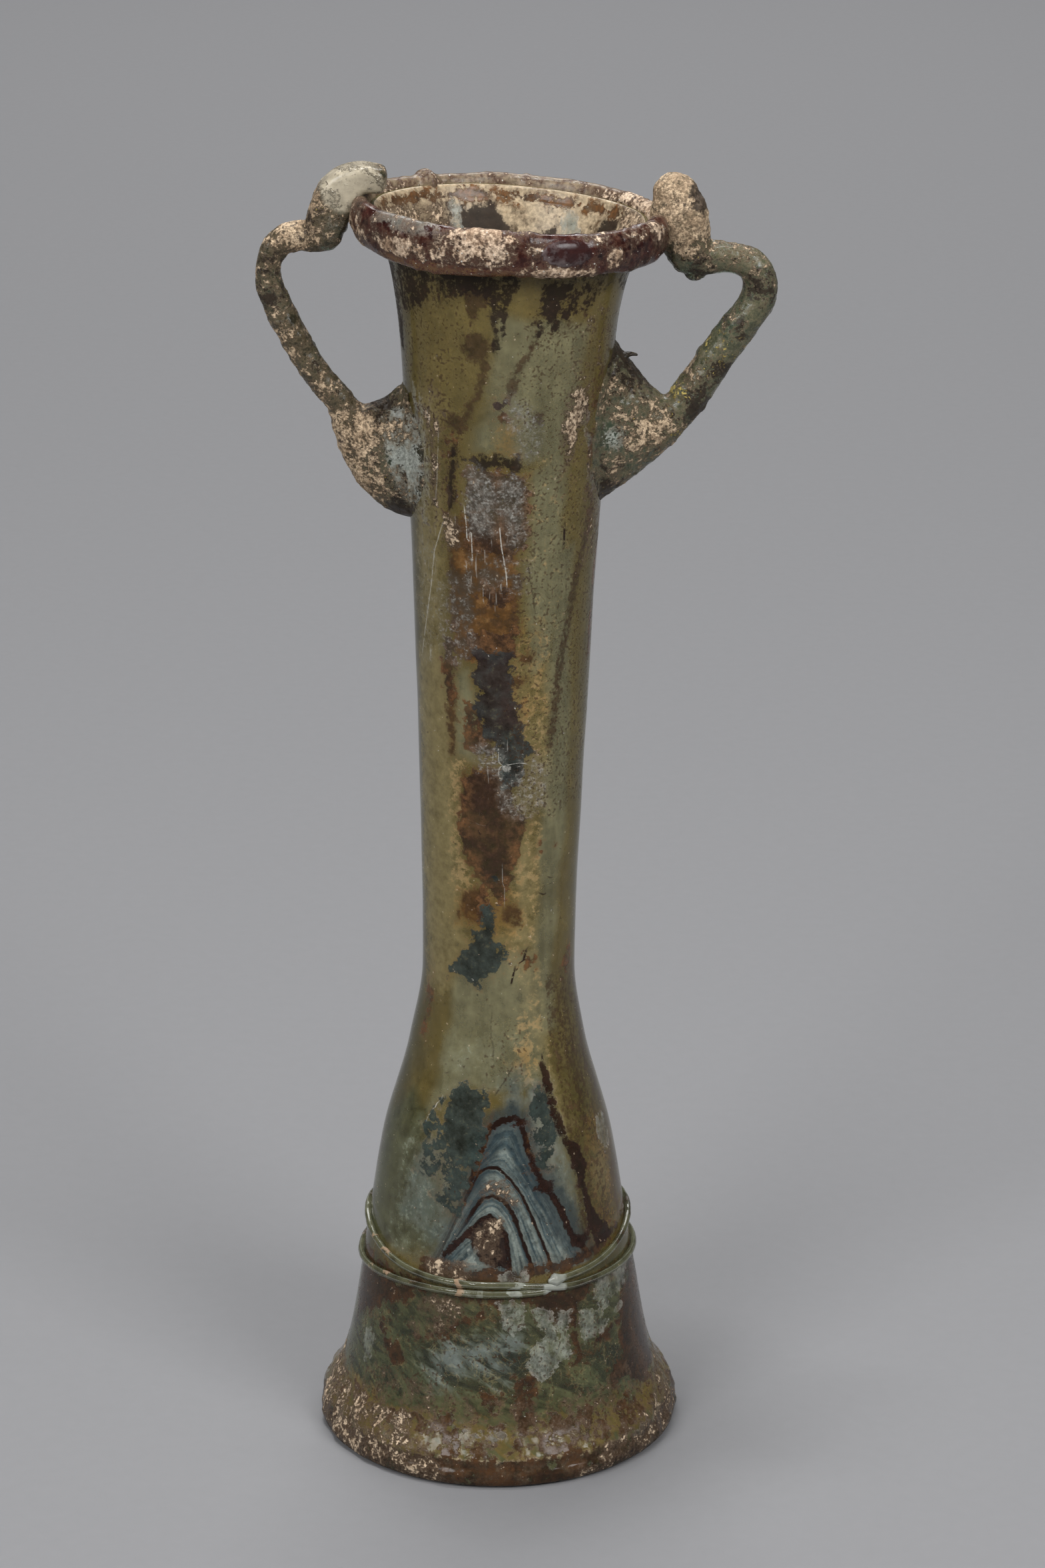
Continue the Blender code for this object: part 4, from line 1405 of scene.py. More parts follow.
    def marbled(self, skin: Skin, noises: Noises) -> Skin:
        """Lays the swirled green and blue-grey glass of the lower body over the skin.

        Args:
            skin: The skin so far.
            noises: The noise fields that break its edges up.

        Returns:
            The skin with them on it.
        """
        make = skin.recipe
        green = make.ragged(Coat.GREEN, noises.broad, 0.12, 0.2)
        moss = make.tinted(self.moss, 0.4 + 0.7 * noises.lump_tone + 0.4 * noises.crumb_tone)
        skin = skin.coated(green * 0.85, moss, 0.12, 0.6)
        ochre = make.ragged(Coat.OCHRE, noises.torn, 0.08, 0.14)
        skin = skin.coated(ochre * 0.7, make.tinted(self.ochre, 0.5 + 0.9 * noises.crumb_tone), 0.2, 0.8)
        blue = make.ragged(Coat.BLUE, noises.torn, 0.10, 0.2)
        sea = make.blend(noises.lump.eased(0.40, 0.60), self.blue_grey, self.deep_blue)
        sea = make.tinted(sea, 0.5 + 0.9 * noises.drawn.eased())
        skin = skin.coated(blue * 0.85, sea, 0.14, 0.8)
        swirl = make.grain(6.5, 5.0, 0.56, stretch=(1.0, 1.0, 2.6), shift=101.0, bend=1.6, tilt=0.6)
        vein = (make.grain(5.0, 5.0, 0.6, shift=111.0, bend=1.5, tilt=0.6) - 0.5).size().eased(0.022, 0.006)
        tone = make.blend(swirl.eased(0.34, 0.64), self.deep_green, self.moss)
        sea = (swirl + make.coat(Coat.BLUE) * 0.06).eased(0.42, 0.72)
        tone = make.blend(sea, tone, make.tinted(self.blue_grey, 0.45 + 0.9 * noises.lump))
        amber = make.tinted(self.olive, 0.3 + 0.8 * noises.lump)
        brownish = (swirl - make.coat(Coat.OCHRE) * 0.10).eased(0.46, 0.30)
        tone = make.blend(brownish * 0.9, tone, amber)
        tone = make.blend(vein * noises.torn.eased(0.44, 0.54) * 0.3, tone, self.cream)
        tone = make.tinted(tone, 0.78 + 0.4 * noises.crumb_tone)
        low = (make.height() + noises.lump * 3.0).eased(31.5, 28.0)
        skin = skin.coated(low * 0.92, tone, 0.12, 0.85)
        cloud = (make.coat(Coat.MIST) + (noises.lump - 0.5) * 8.0).eased(-2.6, 1.6)
        skin = skin.coated(cloud * 0.35, self.mist, 0.14, 0.8)
        misty = make.ragged(Coat.MIST, noises.grit * 0.7 + noises.lump * 0.3, 0.08, 0.05)
        return skin.coated(misty * 0.6, make.tinted(self.mist, 0.6 + 0.8 * noises.fine), 0.2, 0.85)

    def stained(self, skin: Skin, noises: Noises) -> Skin:
        """Lays the rust, brown film, ink and soot over the skin, with brown blurs and a patch of painted
        shade.

        Args:
            skin: The skin so far.
            noises: The noise fields that break its edges up.

        Returns:
            The skin with them on it.
        """
        make = skin.recipe
        dusted = make.ragged(Coat.DUST, noises.lump, 0.30, 0.1)
        powder = make.blend((noises.torn * 0.7 + noises.drawn * 0.3).eased(0.48, 0.60), self.dust,
                            self.dust_brown)
        skin = skin.coated(dusted * 0.92, make.tinted(powder, 0.6 + 0.7 * noises.fine_tone), 0.35, 0.93)
        blot = noises.crumb * 0.45 + noises.drawn * 0.25 + noises.fine * 0.3
        # This coat lays brown blurred stains, and painted shade where its broad patch darkens the right of
        # the body.
        shade = make.ragged(Coat.SHADOW, blot, 0.14, 0.06)
        skin = skin.coated(shade * 0.85, make.tinted(self.umber, 0.4 + 1.0 * noises.crumb_tone), 0.16, 0.9)
        rust = make.ragged(Coat.RUST, noises.torn, 0.12, 0.08)
        amber = make.blend(noises.torn.eased(0.40, 0.54), self.rust, self.dark_rust)
        amber = make.blend(noises.lump.eased(0.46, 0.36) * noises.fine_tone, amber, self.amber)
        skin = skin.coated(rust * 0.92, make.tinted(amber, 0.45 + 1.0 * noises.crumb_tone), 0.16, 0.92, 0.01)
        deep = make.coat(Coat.FILM).most(make.coat(Coat.INK))
        halo = (deep * 0.16 + noises.rough_edge).eased(0.32, 0.52) * noises.crumb_tone
        skin = skin.coated(halo * 0.5, make.tinted(self.orange_brown, 0.6 + 0.8 * noises.fine_tone), 0.2, 0.9)
        film = make.ragged(Coat.FILM, noises.rough_edge, 0.20, 0.045)
        brown = make.blend(noises.lump.eased(0.42, 0.58), self.plum_brown, self.umber)
        near_rim = make.coat(Coat.FILM).eased(2.4, 0.2) * 0.4 + 0.10
        brown = make.blend(near_rim * noises.torn.eased(0.44, 0.60), brown, self.orange_brown)
        brown = make.tinted(brown, 0.55 + 1.1 * noises.crumb_tone + 0.5 * noises.fine_tone)
        brown = make.blend(make.height().eased(38.0, 32.0) * 0.6, brown, self.plum_brown)
        skin = skin.coated(film * (0.84 + 0.16 * noises.crumb_tone), brown, 0.13, 0.97, 0.03)
        ink = make.ragged(Coat.INK, noises.rough_edge, 0.21, 0.035)
        low_down = make.height().eased(112.0, 104.0) * 0.5
        teal = (noises.broad + noises.torn * 0.5).eased(0.72, 0.88) * 0.5 + low_down
        dark = make.blend(teal, self.blue_black, self.teal_black)
        dark = make.blend(make.height().eased(94.0, 82.0) * 0.8, dark, self.slate_green)
        dark = make.tinted(dark, 0.45 + 1.2 * noises.lump.eased(0.38, 0.62) + 1.2 * noises.crumb_tone)
        light = (noises.crumb * 0.6 + noises.fine * 0.4).eased(0.54, 0.66)
        dark = make.blend(light * 0.5, dark, self.ink_light)
        skin = skin.coated(ink * 0.96, dark, 0.14, 0.97, 0.02)
        seam = make.ragged(Coat.SEAM, noises.torn * 0.5 + noises.crumb * 0.5, 0.34, 0.05)
        vein = make.tinted(self.red_brown, 0.6 + 1.6 * noises.crumb_tone)
        skin = skin.coated(seam * 0.95, vein, 0.2, 0.97, -0.03)
        run = noises.crumb * 0.35 + noises.drawn * 0.35 + noises.fine * 0.3
        soot = make.ragged(Coat.SOOT, run, 0.13, 0.04)
        smudge = make.ragged(Coat.SOOT, noises.crumb * 0.6 + noises.drawn * 0.4, 0.10, 0.12)
        skin = skin.coated(smudge * 0.5, self.umber, 0.3, 0.9)
        return skin.coated(soot * 0.92, make.tinted(self.soot, 0.6 + 1.8 * noises.crumb_tone), 0.6, 0.97)

    def frosted(self, skin: Skin, noises: Noises) -> Skin:
        """Lays the white frost, the pale films and the crust over the skin.

        Args:
            skin: The skin so far.
            noises: The noise fields that break its edges up.

        Returns:
            The skin with them on it.
        """
        make = skin.recipe
        rime = make.grain(0.32, 3.0, 0.6, shift=47.0)
        milky = (make.coat(Coat.FROST) + (noises.torn - 0.5) * 7.0).eased(-1.6, 1.4)
        skin = skin.coated(milky * 0.4, self.frost, 0.3, 0.9)
        frost = make.coat(Coat.FROST) * 0.08 + noises.crumb * 0.55 + noises.fine * 0.3 + rime * 0.15
        white = make.blend(rime.eased(0.44, 0.66), self.frost, self.rime)
        skin = skin.coated(frost.eased(0.44, 0.60) * (0.15 + 0.7 * noises.fine_tone), white, 0.5, 0.95, 0.05)
        pale_depth = make.coat(Coat.PALE) * 0.26 + noises.rough_edge
        film = make.tinted(self.pale_film, 0.45 + 0.9 * noises.crumb_tone)
        streaky = noises.lump * 0.5 + noises.drawn * 0.5
        within = pale_depth.eased(0.40, 0.64) * (0.10 + 0.85 * streaky.eased(0.38, 0.62))
        skin = skin.coated(within * 0.75, film, 0.1, 0.93, 0.03)
        rim = (pale_depth - 0.5).size().eased(0.05, 0.0) * make.coat(Coat.PALE).eased(-1.5, -0.5)
        skin = skin.coated(rim * noises.crumb.eased(0.4, 0.55) * 0.3, self.white, 0.3, 0.95)
        low = make.height().eased(4.0, 6.5)
        speckle = noises.grit * 0.7 + noises.lump * 0.3
        dripping = noises.grit * 0.50 + noises.drawn * 0.30 + noises.lump * 0.20
        low = low * make.height().eased(40.0, 30.0)
        gathered = make.between(low, speckle, dripping) + make.coat(Coat.CRUST) * 0.09
        return skin.crusted(gathered, (noises.fine, noises.crumb, noises.lump),
                            (self.crust_brown, self.tan, self.pale_crust), 0.20)

    def scraped(self, skin: Skin, noises: Noises) -> Skin:
        """Scatters fine scratches, specks and grains over the skin.

        Args:
            skin: The skin so far.
            noises: The noise fields that break its edges up.

        Returns:
            The skin with them on it.
        """
        make = skin.recipe
        hairs = make.grain(0.4, 3.0, 0.5, stretch=(1.0, 1.0, 0.10), shift=91.0)
        scraped = make.coat(Coat.SCRATCH).eased(-0.6, 0.8) * hairs.eased(0.64, 0.71)
        skin = skin.coated(scraped * 0.35, self.white, 0.4, 1.0, 0.01)
        hair = (1.0 - make.painted("hair").size() + (noises.crumb - 0.5)).eased(-0.25, 0.55)
        hair = hair * noises.fine.eased(0.36, 0.50)
        pale_line = hair * make.painted("hair_tone").eased(0.05, 0.9)
        dark_line = hair * (-make.painted("hair_tone")).eased(0.05, 0.9)
        skin = skin.coated(pale_line * 0.8, self.white, 0.4, 1.0, 0.01)
        skin = skin.coated(dark_line, self.plum_brown, 0.3, 1.0, -0.02)
        speckled = make.coat(Coat.SPECK).eased(-1.5, 1.5)
        dust = make.grain(0.45, 2.0, 0.5, shift=5.0) + speckled * 0.11 + (noises.torn - 0.5) * 0.5
        skin = skin.coated(dust.eased(0.68, 0.74) * 0.75, self.umber, 0.4, 0.95)
        speck = (make.grain(0.9, 2.0, 0.5, shift=15.0) + (noises.lump - 0.5) * 0.4).eased(0.75, 0.79)
        skin = skin.coated(speck * 0.7, self.soot, 0.4, 0.95)
        grain = (make.grain(0.6, 2.0, 0.5, shift=61.0) + (noises.torn - 0.5) * 0.5).eased(0.74, 0.77)
        skin = skin.coated(grain * 0.6, self.pale_crust, 0.4, 0.95, 0.02)
        glint = (make.grain(0.5, 2.0, 0.5, shift=71.0) + (noises.lump - 0.5) * 0.3).eased(0.77, 0.79)
        return skin.coated(glint * 0.7, self.white, 0.3, 0.95, 0.02)


@dataclass(frozen=True)
class AubergineGlass:
    """The coil's finish: dark red-brown glass with bubbles, a painted pale highlight on its top and pink-tan
    crust.
    """

    tint: Colour = (0.45, 0.16, 0.10)
    aubergine: Colour = (0.058, 0.016, 0.012)
    plum: Colour = (0.026, 0.014, 0.015)
    garnet: Colour = (0.130, 0.038, 0.022)
    amber: Colour = (0.300, 0.165, 0.062)
    dusty: Colour = (0.280, 0.215, 0.140)
    dust_brown: Colour = (0.070, 0.044, 0.030)
    painted_top_sheen: Colour = (0.420, 0.415, 0.350)
    lilac: Colour = (0.230, 0.185, 0.180)
    tan_brown: Colour = (0.110, 0.060, 0.038)
    tan: Colour = (0.380, 0.255, 0.165)
    pale_tan: Colour = (0.620, 0.475, 0.345)
    white: Colour = (0.740, 0.720, 0.650)

    def material(self) -> bpy.types.Material:
        """Makes the material.

        Returns:
            The finished material.
        """
        make = Recipe("aubergine_glass_dressed")
        fine = make.grain(0.5, 4.0, 0.62, shift=3.0)
        crumb = make.grain(1.2, 6.0, 0.68, shift=13.0)
        lump = make.grain(3.0, 5.0, 0.62, shift=29.0)
        fine_tone = fine.eased()
        crumb_tone = crumb.eased()
        tone = make.blend(lump.eased(0.4, 0.6), self.aubergine, self.plum)
        colour = make.tinted(tone, 0.5 + 1.0 * crumb_tone)
        skin = Skin(make, colour, 0.10 + 0.16 * crumb_tone, (crumb - 0.5) * 0.06, 0.72 + 0.2 * lump)
        warm = (make.painted("amber") + (crumb - 0.5)).eased()
        skin = skin.coated(warm * 0.9, make.blend(fine.eased(0.4, 0.6), self.garnet, self.amber), 0.25, 0.6)
        powdered = (make.painted("dusty") + (lump - 0.5) * 0.8).eased()
        powder = make.blend((crumb * 0.6 + lump * 0.4).eased(0.47, 0.58), self.dusty, self.dust_brown)
        skin = skin.coated(powdered * 0.92, make.tinted(powder, 0.5 + 0.8 * fine_tone), 0.3, 0.85)
        # Painted highlight: a pale layer on the top of the coil round its front left, standing for light
        # caught there.
        painted_sheen_share = (make.painted("painted_top_sheen") + (lump * 0.4 + crumb * 0.6 - 0.5) * 4.0).eased(0.5, 0.95)
        skin = skin.coated(painted_sheen_share * (0.35 + 0.5 * fine_tone), make.tinted(self.painted_top_sheen, 0.5 + 0.9 * crumb_tone),
                           0.28, 0.9, 0.02)
        smooth = make.painted("blister").eased(0.02, 0.25)
        glaze = make.blend(lump.eased(0.42, 0.58), self.plum, self.lilac)
        crusty = make.painted("crusted") * 0.075 + fine * 0.18 + crumb * 0.44 + lump * 0.38
        skin = skin.coated(smooth * 0.6, glaze, 0.14, 0.9)
        skin = skin.crusted(crusty - 0.02 - smooth * 0.15, (fine, crumb, lump),
                            (self.tan_brown, self.tan, self.pale_tan), 0.25)
        bubble = (make.cells(0.9, shift=7.0) + (1.0 - crumb) * 0.5).eased(0.37, 0.30)
        skin = skin.coated(bubble * 0.8, self.white, 0.3, 0.95, 0.06)
        return skin.material(self.tint, 0.4)


@dataclass(frozen=True)
class HandleGlass:
    """A handle's finish: green glass under tan crust, brown film, white flakes and yellow grains."""

    name: str = "crusted_green_glass"
    crustiness: float = 0.0
    tint: Colour = (0.30, 0.42, 0.30)
    deep: Colour = (0.058, 0.050, 0.030)
    teal: Colour = (0.075, 0.095, 0.062)
    brown: Colour = (0.026, 0.017, 0.012)
    thin: Colour = (0.150, 0.112, 0.066)
    tan: Colour = (0.360, 0.255, 0.160)
    pink: Colour = (0.640, 0.485, 0.325)
    white: Colour = (0.520, 0.545, 0.490)
    yellow: Colour = (0.460, 0.360, 0.110)
    horn: Colour = (0.520, 0.455, 0.340)

    def material(self) -> bpy.types.Material:
        """Makes the material.

        Returns:
            The finished material.
        """
        make = Recipe(self.name)
        fine = make.grain(0.4, 4.0, 0.64, shift=5.0)
        crumb = make.grain(1.0, 6.0, 0.70, shift=17.0)
        lump = make.grain(2.8, 5.0, 0.62, shift=37.0)
        fine_tone = fine.eased()
        crumb_tone = crumb.eased()
        tone = make.blend((lump + make.painted("teal") * 0.2).eased(0.45, 0.62), self.deep, self.teal)
        colour = make.tinted(tone, 0.45 + 0.8 * crumb_tone + 0.4 * fine_tone)
        skin = Skin(make, colour, 0.08 + 0.10 * fine_tone, (crumb - 0.5) * 0.06, 0.66 + 0.3 * (lump - 0.5))
        flake = (make.painted("white") * 0.13 + crumb * 0.5 + fine * 0.5).eased(0.56, 0.63)
        skin = skin.coated(flake * 0.75, make.tinted(self.white, 0.4 + 0.9 * fine_tone), 0.4, 0.95, 0.04)
        crusty = make.painted("crusted") * 0.075 + fine * 0.20 + crumb * 0.44 + lump * 0.36
        skin = skin.crusted(crusty + self.crustiness - 0.018, (fine, crumb, lump),
                            (self.thin, self.tan, self.pink), 0.25)
        other = make.grain(1.1, 6.0, 0.70, shift=61.0)
        browned = make.painted("browned") * 0.10 + other * 0.55 + lump * 0.2 + fine * 0.25
        earth = make.tinted(self.brown, 0.6 + fine_tone)
        skin = skin.coated(browned.eased(0.545, 0.58) * 0.9, earth, 0.4, 0.98, 0.02)
        gold = (make.painted("yellow") * 0.16 + other * 0.6 + fine * 0.4).eased(0.62, 0.67)
        skin = skin.coated(gold, make.tinted(self.yellow, 0.6 + 0.8 * fine_tone), 0.6, 1.0, 0.05)
        horny = (make.painted("horn") + (lump - 0.5) * 0.6).eased(0.35, 0.65)
        veil = make.grain(2.2, 4.0, 0.6, shift=83.0).eased()
        horn = make.blend(other.eased(0.60, 0.68) * 0.7, make.tinted(self.horn, 0.7 + 0.5 * veil), self.brown)
        skin = skin.coated(horny * 0.92, horn, 0.16, 0.85)
        return skin.material(self.tint, 0.4)


@dataclass(frozen=True)
class ThreadGlass:
    """The thread's finish: glossy green-olive glass with brown dirt and a cream grain or two."""

    tint: Colour = (0.62, 0.64, 0.42)
    green: Colour = (0.150, 0.150, 0.085)
    dark: Colour = (0.044, 0.038, 0.020)
    brown: Colour = (0.060, 0.034, 0.020)
    pink: Colour = (0.460, 0.300, 0.190)
    white: Colour = (0.560, 0.590, 0.530)

    def material(self) -> bpy.types.Material:
        """Makes the material.

        Returns:
            The finished material.
        """
        make = Recipe("green_thread_dressed")
        fine = make.grain(0.5, 3.0, 0.6)
        crumb = make.grain(1.4, 4.0, 0.6, shift=9.0)
        lump = make.grain(5.0, 3.0, 0.55, shift=19.0)
        tone = make.blend(lump.eased(0.46, 0.68), self.green, self.dark)
        skin = Skin(make, make.tinted(tone, 0.6 + 0.8 * crumb), 0.06 + 0.08 * fine, (crumb - 0.5) * 0.03,
                    0.45 + 0.3 * lump)
        skin = skin.coated((crumb * 0.5 + lump * 0.5).eased(0.58, 0.64) * 0.8, self.brown, 0.4, 0.95)
        ribs = (make.painted("rib") + (crumb - 0.5) * 0.8).eased(0.35, 0.95)
        skin = skin.coated(ribs * 0.3, self.white, 0.06, 0.75, 0.03)
        pinked = (crumb + make.painted("pinked") * 0.18).eased(0.66, 0.74)
        skin = skin.coated(pinked * 0.7, self.pink, 0.8, 1.0, 0.04)
        whitened = (make.painted("whitened") * 0.5 + crumb * 0.5).eased(0.42, 0.62)
        skin = skin.coated(whitened * 0.6, self.white, 0.10, 0.8)
        return skin.material(self.tint, 0.4)


@dataclass
class Vessel:
    """The blown bubble: foot, body, neck and mouth in one hollow wall."""

    form: FlaskForm
    setting: Setting
    finish: WeatheredGlass
    columns: int = 296
    coarse_columns: int = 74
    front_crowding: float = 22.0
    zones: tuple[tuple[float, float], ...] = ((30.0, 0.44), (66.0, 0.64), (160.0, 0.80), (178.5, 0.56))
    mouth_floor: float = 160.0
    base_thickness: float = 3.0
    floor_corner: float = 2.6
    kick_height: float = 2.4
    ring_outer: float = 24.6
    ring_inner: float = 21.2
    lip_round: float = 0.55
    marks_seed: int = 2907
    hair_reach: float = 9.0
    folds: tuple[tuple[float, float, float], ...] = ((176.9, 0.35, 1.0), (175.6, 0.4, 0.6))
    dents: tuple[tuple[float, float, float], ...] = ((4.4, 0.5, 1.0), (2.2, 0.45, 1.0))

    def kick(self, radius: float) -> float:
        """Returns the height of the pushed-in underside at a radius."""
        share = min(1.0, radius / self.ring_inner)
        return self.kick_height * (1.0 - share * share * (3.0 - 2.0 * share))

    def outer_levels(self) -> list[float]:
        """Spaces the rings of the outside, closer in some zones than in others.

        Returns:
            Their levels, from the foot's edge to the lip.
        """
        levels: list[float] = []
        low = self.form.levels[0]
        for high, pitch in self.zones:
            count = math.ceil((high - low) / pitch)
            levels += [low + (high - low) * index / count for index in range(count)]
            low = high
        return levels + [low]

    def rings(self) -> list[tuple[float, float, int, bool]]:
        """Follows the wall from the middle of the floor over the lip to the kick.

        Returns:
            Rings of radius, level, column count and whether they are inside.
        """
        corner = self.base_thickness + self.floor_corner
        lower = np.linspace(corner, self.mouth_floor, 50)[:-1]
        upper = np.linspace(self.mouth_floor, self.form.levels[-1], 34)
        lower_radii = self.form.inner_radius(lower)
        floor_edge = lower_radii[0] - self.floor_corner
        rings = []
        for radius in np.linspace(floor_edge / 6.0, floor_edge, 6):
            rings.append((radius, self.base_thickness + self.kick(radius), self.coarse_columns, True))
        floor_level = rings[-1][1]
        for share in (0.25, 0.5, 0.75):
            bend = share * (2.0 - share)
            rings.append((floor_edge + self.floor_corner * bend,
                          floor_level + (corner - floor_level) * share * share, self.coarse_columns, True))
        rings += [(r, z, self.coarse_columns, True) for r, z in zip(lower_radii, lower)]
        rings += [(r, z, self.columns, True) for r, z in zip(self.form.inner_radius(upper), upper)]
        lip_in = rings[-1][0]
        lip_out = self.form.radii[-1]
        for angle in (150.0, 110.0, 70.0, 30.0):
            turn = math.radians(angle)
            radius = (lip_in + lip_out) / 2.0 + (lip_out - lip_in) / 2.0 * math.cos(turn)
            level = self.form.levels[-1] + self.lip_round * math.sin(turn)
            rings.append((radius, level, self.columns, angle > 90.0))
        levels = np.array(self.outer_levels()[::-1])
        rings += [(r, z, self.columns, False) for r, z in zip(self.form.at(levels)[0], levels)]
        edge = self.form.levels[0]
        for angle in (22.0, 45.0, 67.0, 90.0):
            turn = math.radians(angle)
            radius = self.ring_outer + (self.form.radii[0] - self.ring_outer) * math.cos(turn)
            rings.append((radius, edge - edge * math.sin(turn), self.columns, False))
        rings.append((self.ring_inner, 0.0, self.columns, False))
        for share in (0.85, 0.65, 0.45, 0.25, 0.1):
            radius = self.ring_inner * share
            rings.append((radius, self.kick(radius), self.coarse_columns, False))
        return rings

    def skin_mesh(self) -> tuple[np.ndarray, list, Chart]:
        """Turns the rings into one closed mesh.

        Returns:
            The upright vertices, the faces and the chart of where the vertices lie.
        """
        rings = self.rings()
        first_pole = (0.0, 0.0, self.base_thickness + self.kick_height)
        points = [np.array([first_pole])]
        turns = [np.zeros(1)]
        inside = [np.ones(1, bool)]
        faces: list[tuple[int, ...]] = []
        starts = []
        total = 1
        for radius, level, count, within in rings:
            share = np.arange(count) / count
            turn = FULL_TURN * share - self.front_crowding * np.sin(math.tau * share)
            angle = np.radians(turn)
            ring = np.stack([radius * np.sin(angle), -radius * np.cos(angle), np.full(count, level)], axis=1)
            points.append(ring)
            turns.append(turn)
            inside.append(np.full(count, within))
            starts.append(total)
            total += count
        points.append(np.array([[0.0, 0.0, self.kick_height]]))
        turns.append(np.zeros(1))
        inside.append(np.zeros(1, bool))
        for column in range(rings[0][2]):
            faces.append((0, starts[0] + column, starts[0] + (column + 1) % rings[0][2]))
            faces.append((total, starts[-1] + (column + 1) % rings[-1][2], starts[-1] + column))
        for index in range(len(rings) - 1):
            faces += self.strip(starts[index], rings[index][2], starts[index + 1], rings[index + 1][2])
        stacked = np.concatenate(points)
        chart = Chart(wrapped(np.concatenate(turns)), stacked[:, 2], np.concatenate(inside), self.form)
        return stacked, faces, chart

    def strip(self, low: int, low_count: int, high: int, high_count: int) -> list[tuple[int, ...]]:
        """Fills the gap between two neighbouring rings, whose counts may differ.

        Args:
            low: The first vertex of one ring.
            low_count: How many vertices that ring has.
            high: The first vertex of the other ring.
            high_count: How many vertices it has.

        Returns:
            The faces.
        """
        faces = []
        steps = min(low_count, high_count)
        low_share = low_count // steps
        high_share = high_count // steps
        for step in range(steps):
            near = [low + (step * low_share + part) % low_count for part in range(low_share + 1)]
            far = [high + (step * high_share + part) % high_count for part in range(high_share + 1)]
            faces.append(tuple(near[::-1] + far))
        return faces

    def fields(self, chart: Chart) -> dict[Coat, np.ndarray]:
        """Paints every mark.

        Args:
            chart: Where the vertices lie.

        Returns:
            The depth of each coat at each vertex.
        """
        marks = read_marks(FOOT_MARKS + THREAD_BAND_MARKS + BODY_MARKS + NECK_MARKS)
        marks += read_marks(MOUTH_MARKS, True) + plain_back_marks(self.marks_seed)
        fields = {coat: np.full(len(chart.turn), -FAR) for coat in Coat}
        for mark in marks:
            mark.onto(chart, fields[mark.coat])
        return fields

    def relief(self, points: np.ndarray, chart: Chart, fields: dict[Coat, np.ndarray]) -> np.ndarray:
        """Works out how far the skin stands up or sinks.

        Args:
            points: The settled vertices in millimetres.
            chart: Where the vertices lie.
            fields: The depth of each coat.

        Returns:
            One height in millimetres for each vertex, held level where the foot stands.
        """
        grain = Grain(11)
        blown = 0.10 * grain.at(points, 16.0, 2)
        lumps = grain.at(points, 2.4, 3)
        grit = grain.at(points, 1.1, 2)
        crust = smooth_step(fields[Coat.CRUST] + 1.2 * lumps, -0.4, 0.9)
        frost = smooth_step(fields[Coat.FROST] + 0.8 * lumps, -0.2, 0.8)
        film = smooth_step(fields[Coat.FILM] + 0.5 * lumps, -0.1, 0.4)
        seam = smooth_step(fields[Coat.SEAM], -0.3, 0.4)
        ridge = smooth_step(fields[Coat.RIDGE], -0.4, 0.25)
        fold = bells(chart.level, self.folds)
        foot = 1.0 - smooth_step(chart.level, 6.0, 10.0)
        height = blown + crust * (0.10 + 0.10 * grit) + frost * 0.04 * grit + film * 0.03
        height += ridge * 0.12 - seam * 0.05 + fold * chart.inside * 0.5
        edge = 1.0 - smooth_step(chart.level, 3.4, 7.0)
        height += foot * (0.14 * lumps + 0.08 * grit - 0.10)
        side = np.abs(chart.turn)
        pressed = bells(chart.level, self.dents)
        height += 0.20 * pressed * (1.0 - smooth_step(side, 24.0, 70.0)) * ~chart.inside
        sides = 0.35 + 0.65 * smooth_step(side, 30.0, 60.0)
        height += edge * (sides * (0.30 * grain.at(points, 4.2, 3) + 0.08 * grit) - 0.36)
        height[chart.inside] *= 0.4
        standing = smooth_step(chart.level, 0.2, 1.6)
        return height * np.where(chart.inside & (chart.level < self.mouth_floor), 0.0, standing)

    def build(self) -> bpy.types.Object:
        """Builds the vessel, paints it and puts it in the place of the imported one.

        Returns:
            The finished piece.
        """
        upright, faces, chart = self.skin_mesh()
        settled = self.form.settle(upright)
        piece = new_piece("vessel_glass", settled, faces)
        fields = self.fields(chart)
        height = self.relief(settled, chart, fields)
        write_points(piece.data, self.setting.place(pushed(piece.data, settled, height)))
        for coat, field in fields.items():
            if coat is not Coat.RIDGE:
                write_attribute(piece.data, "coat_" + coat.value, field)
        Arches().onto(piece.data, chart)
        across = np.full(len(chart.turn), self.hair_reach)
        tone = np.zeros(len(chart.turn))
        for sizes, points in read_table(HAIRS):
            Hair(points, *map(float, sizes)).onto(chart, across, tone)
        write_attribute(piece.data, "hair", np.clip(across, -self.hair_reach, self.hair_reach))
        write_attribute(piece.data, "hair_tone", tone)
        # Painted shade: the edge attribute darkens the vessel toward its sides from 46 to 84 degrees, less
        # toward the back and a quarter less on the right, and also darkens the right of the body below levels
        # 52 to 66.
        side = np.abs(chart.turn)
        edge = smooth_step(side, 46.0, 84.0) * (1.0 - 0.7 * smooth_step(side, 96.0, 140.0))
        body_side = smooth_step(chart.turn, 30.0, 58.0) * (1.0 - smooth_step(chart.level, 52.0, 66.0))
        edge = np.maximum(edge, 0.75 * body_side * (side < 100.0))
        write_attribute(piece.data, "edge", edge * np.where(chart.turn < 0.0, 1.0, 0.75))
        piece.data.materials.append(self.finish.material())
        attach(piece, "root")
        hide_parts("vessel")
        return piece


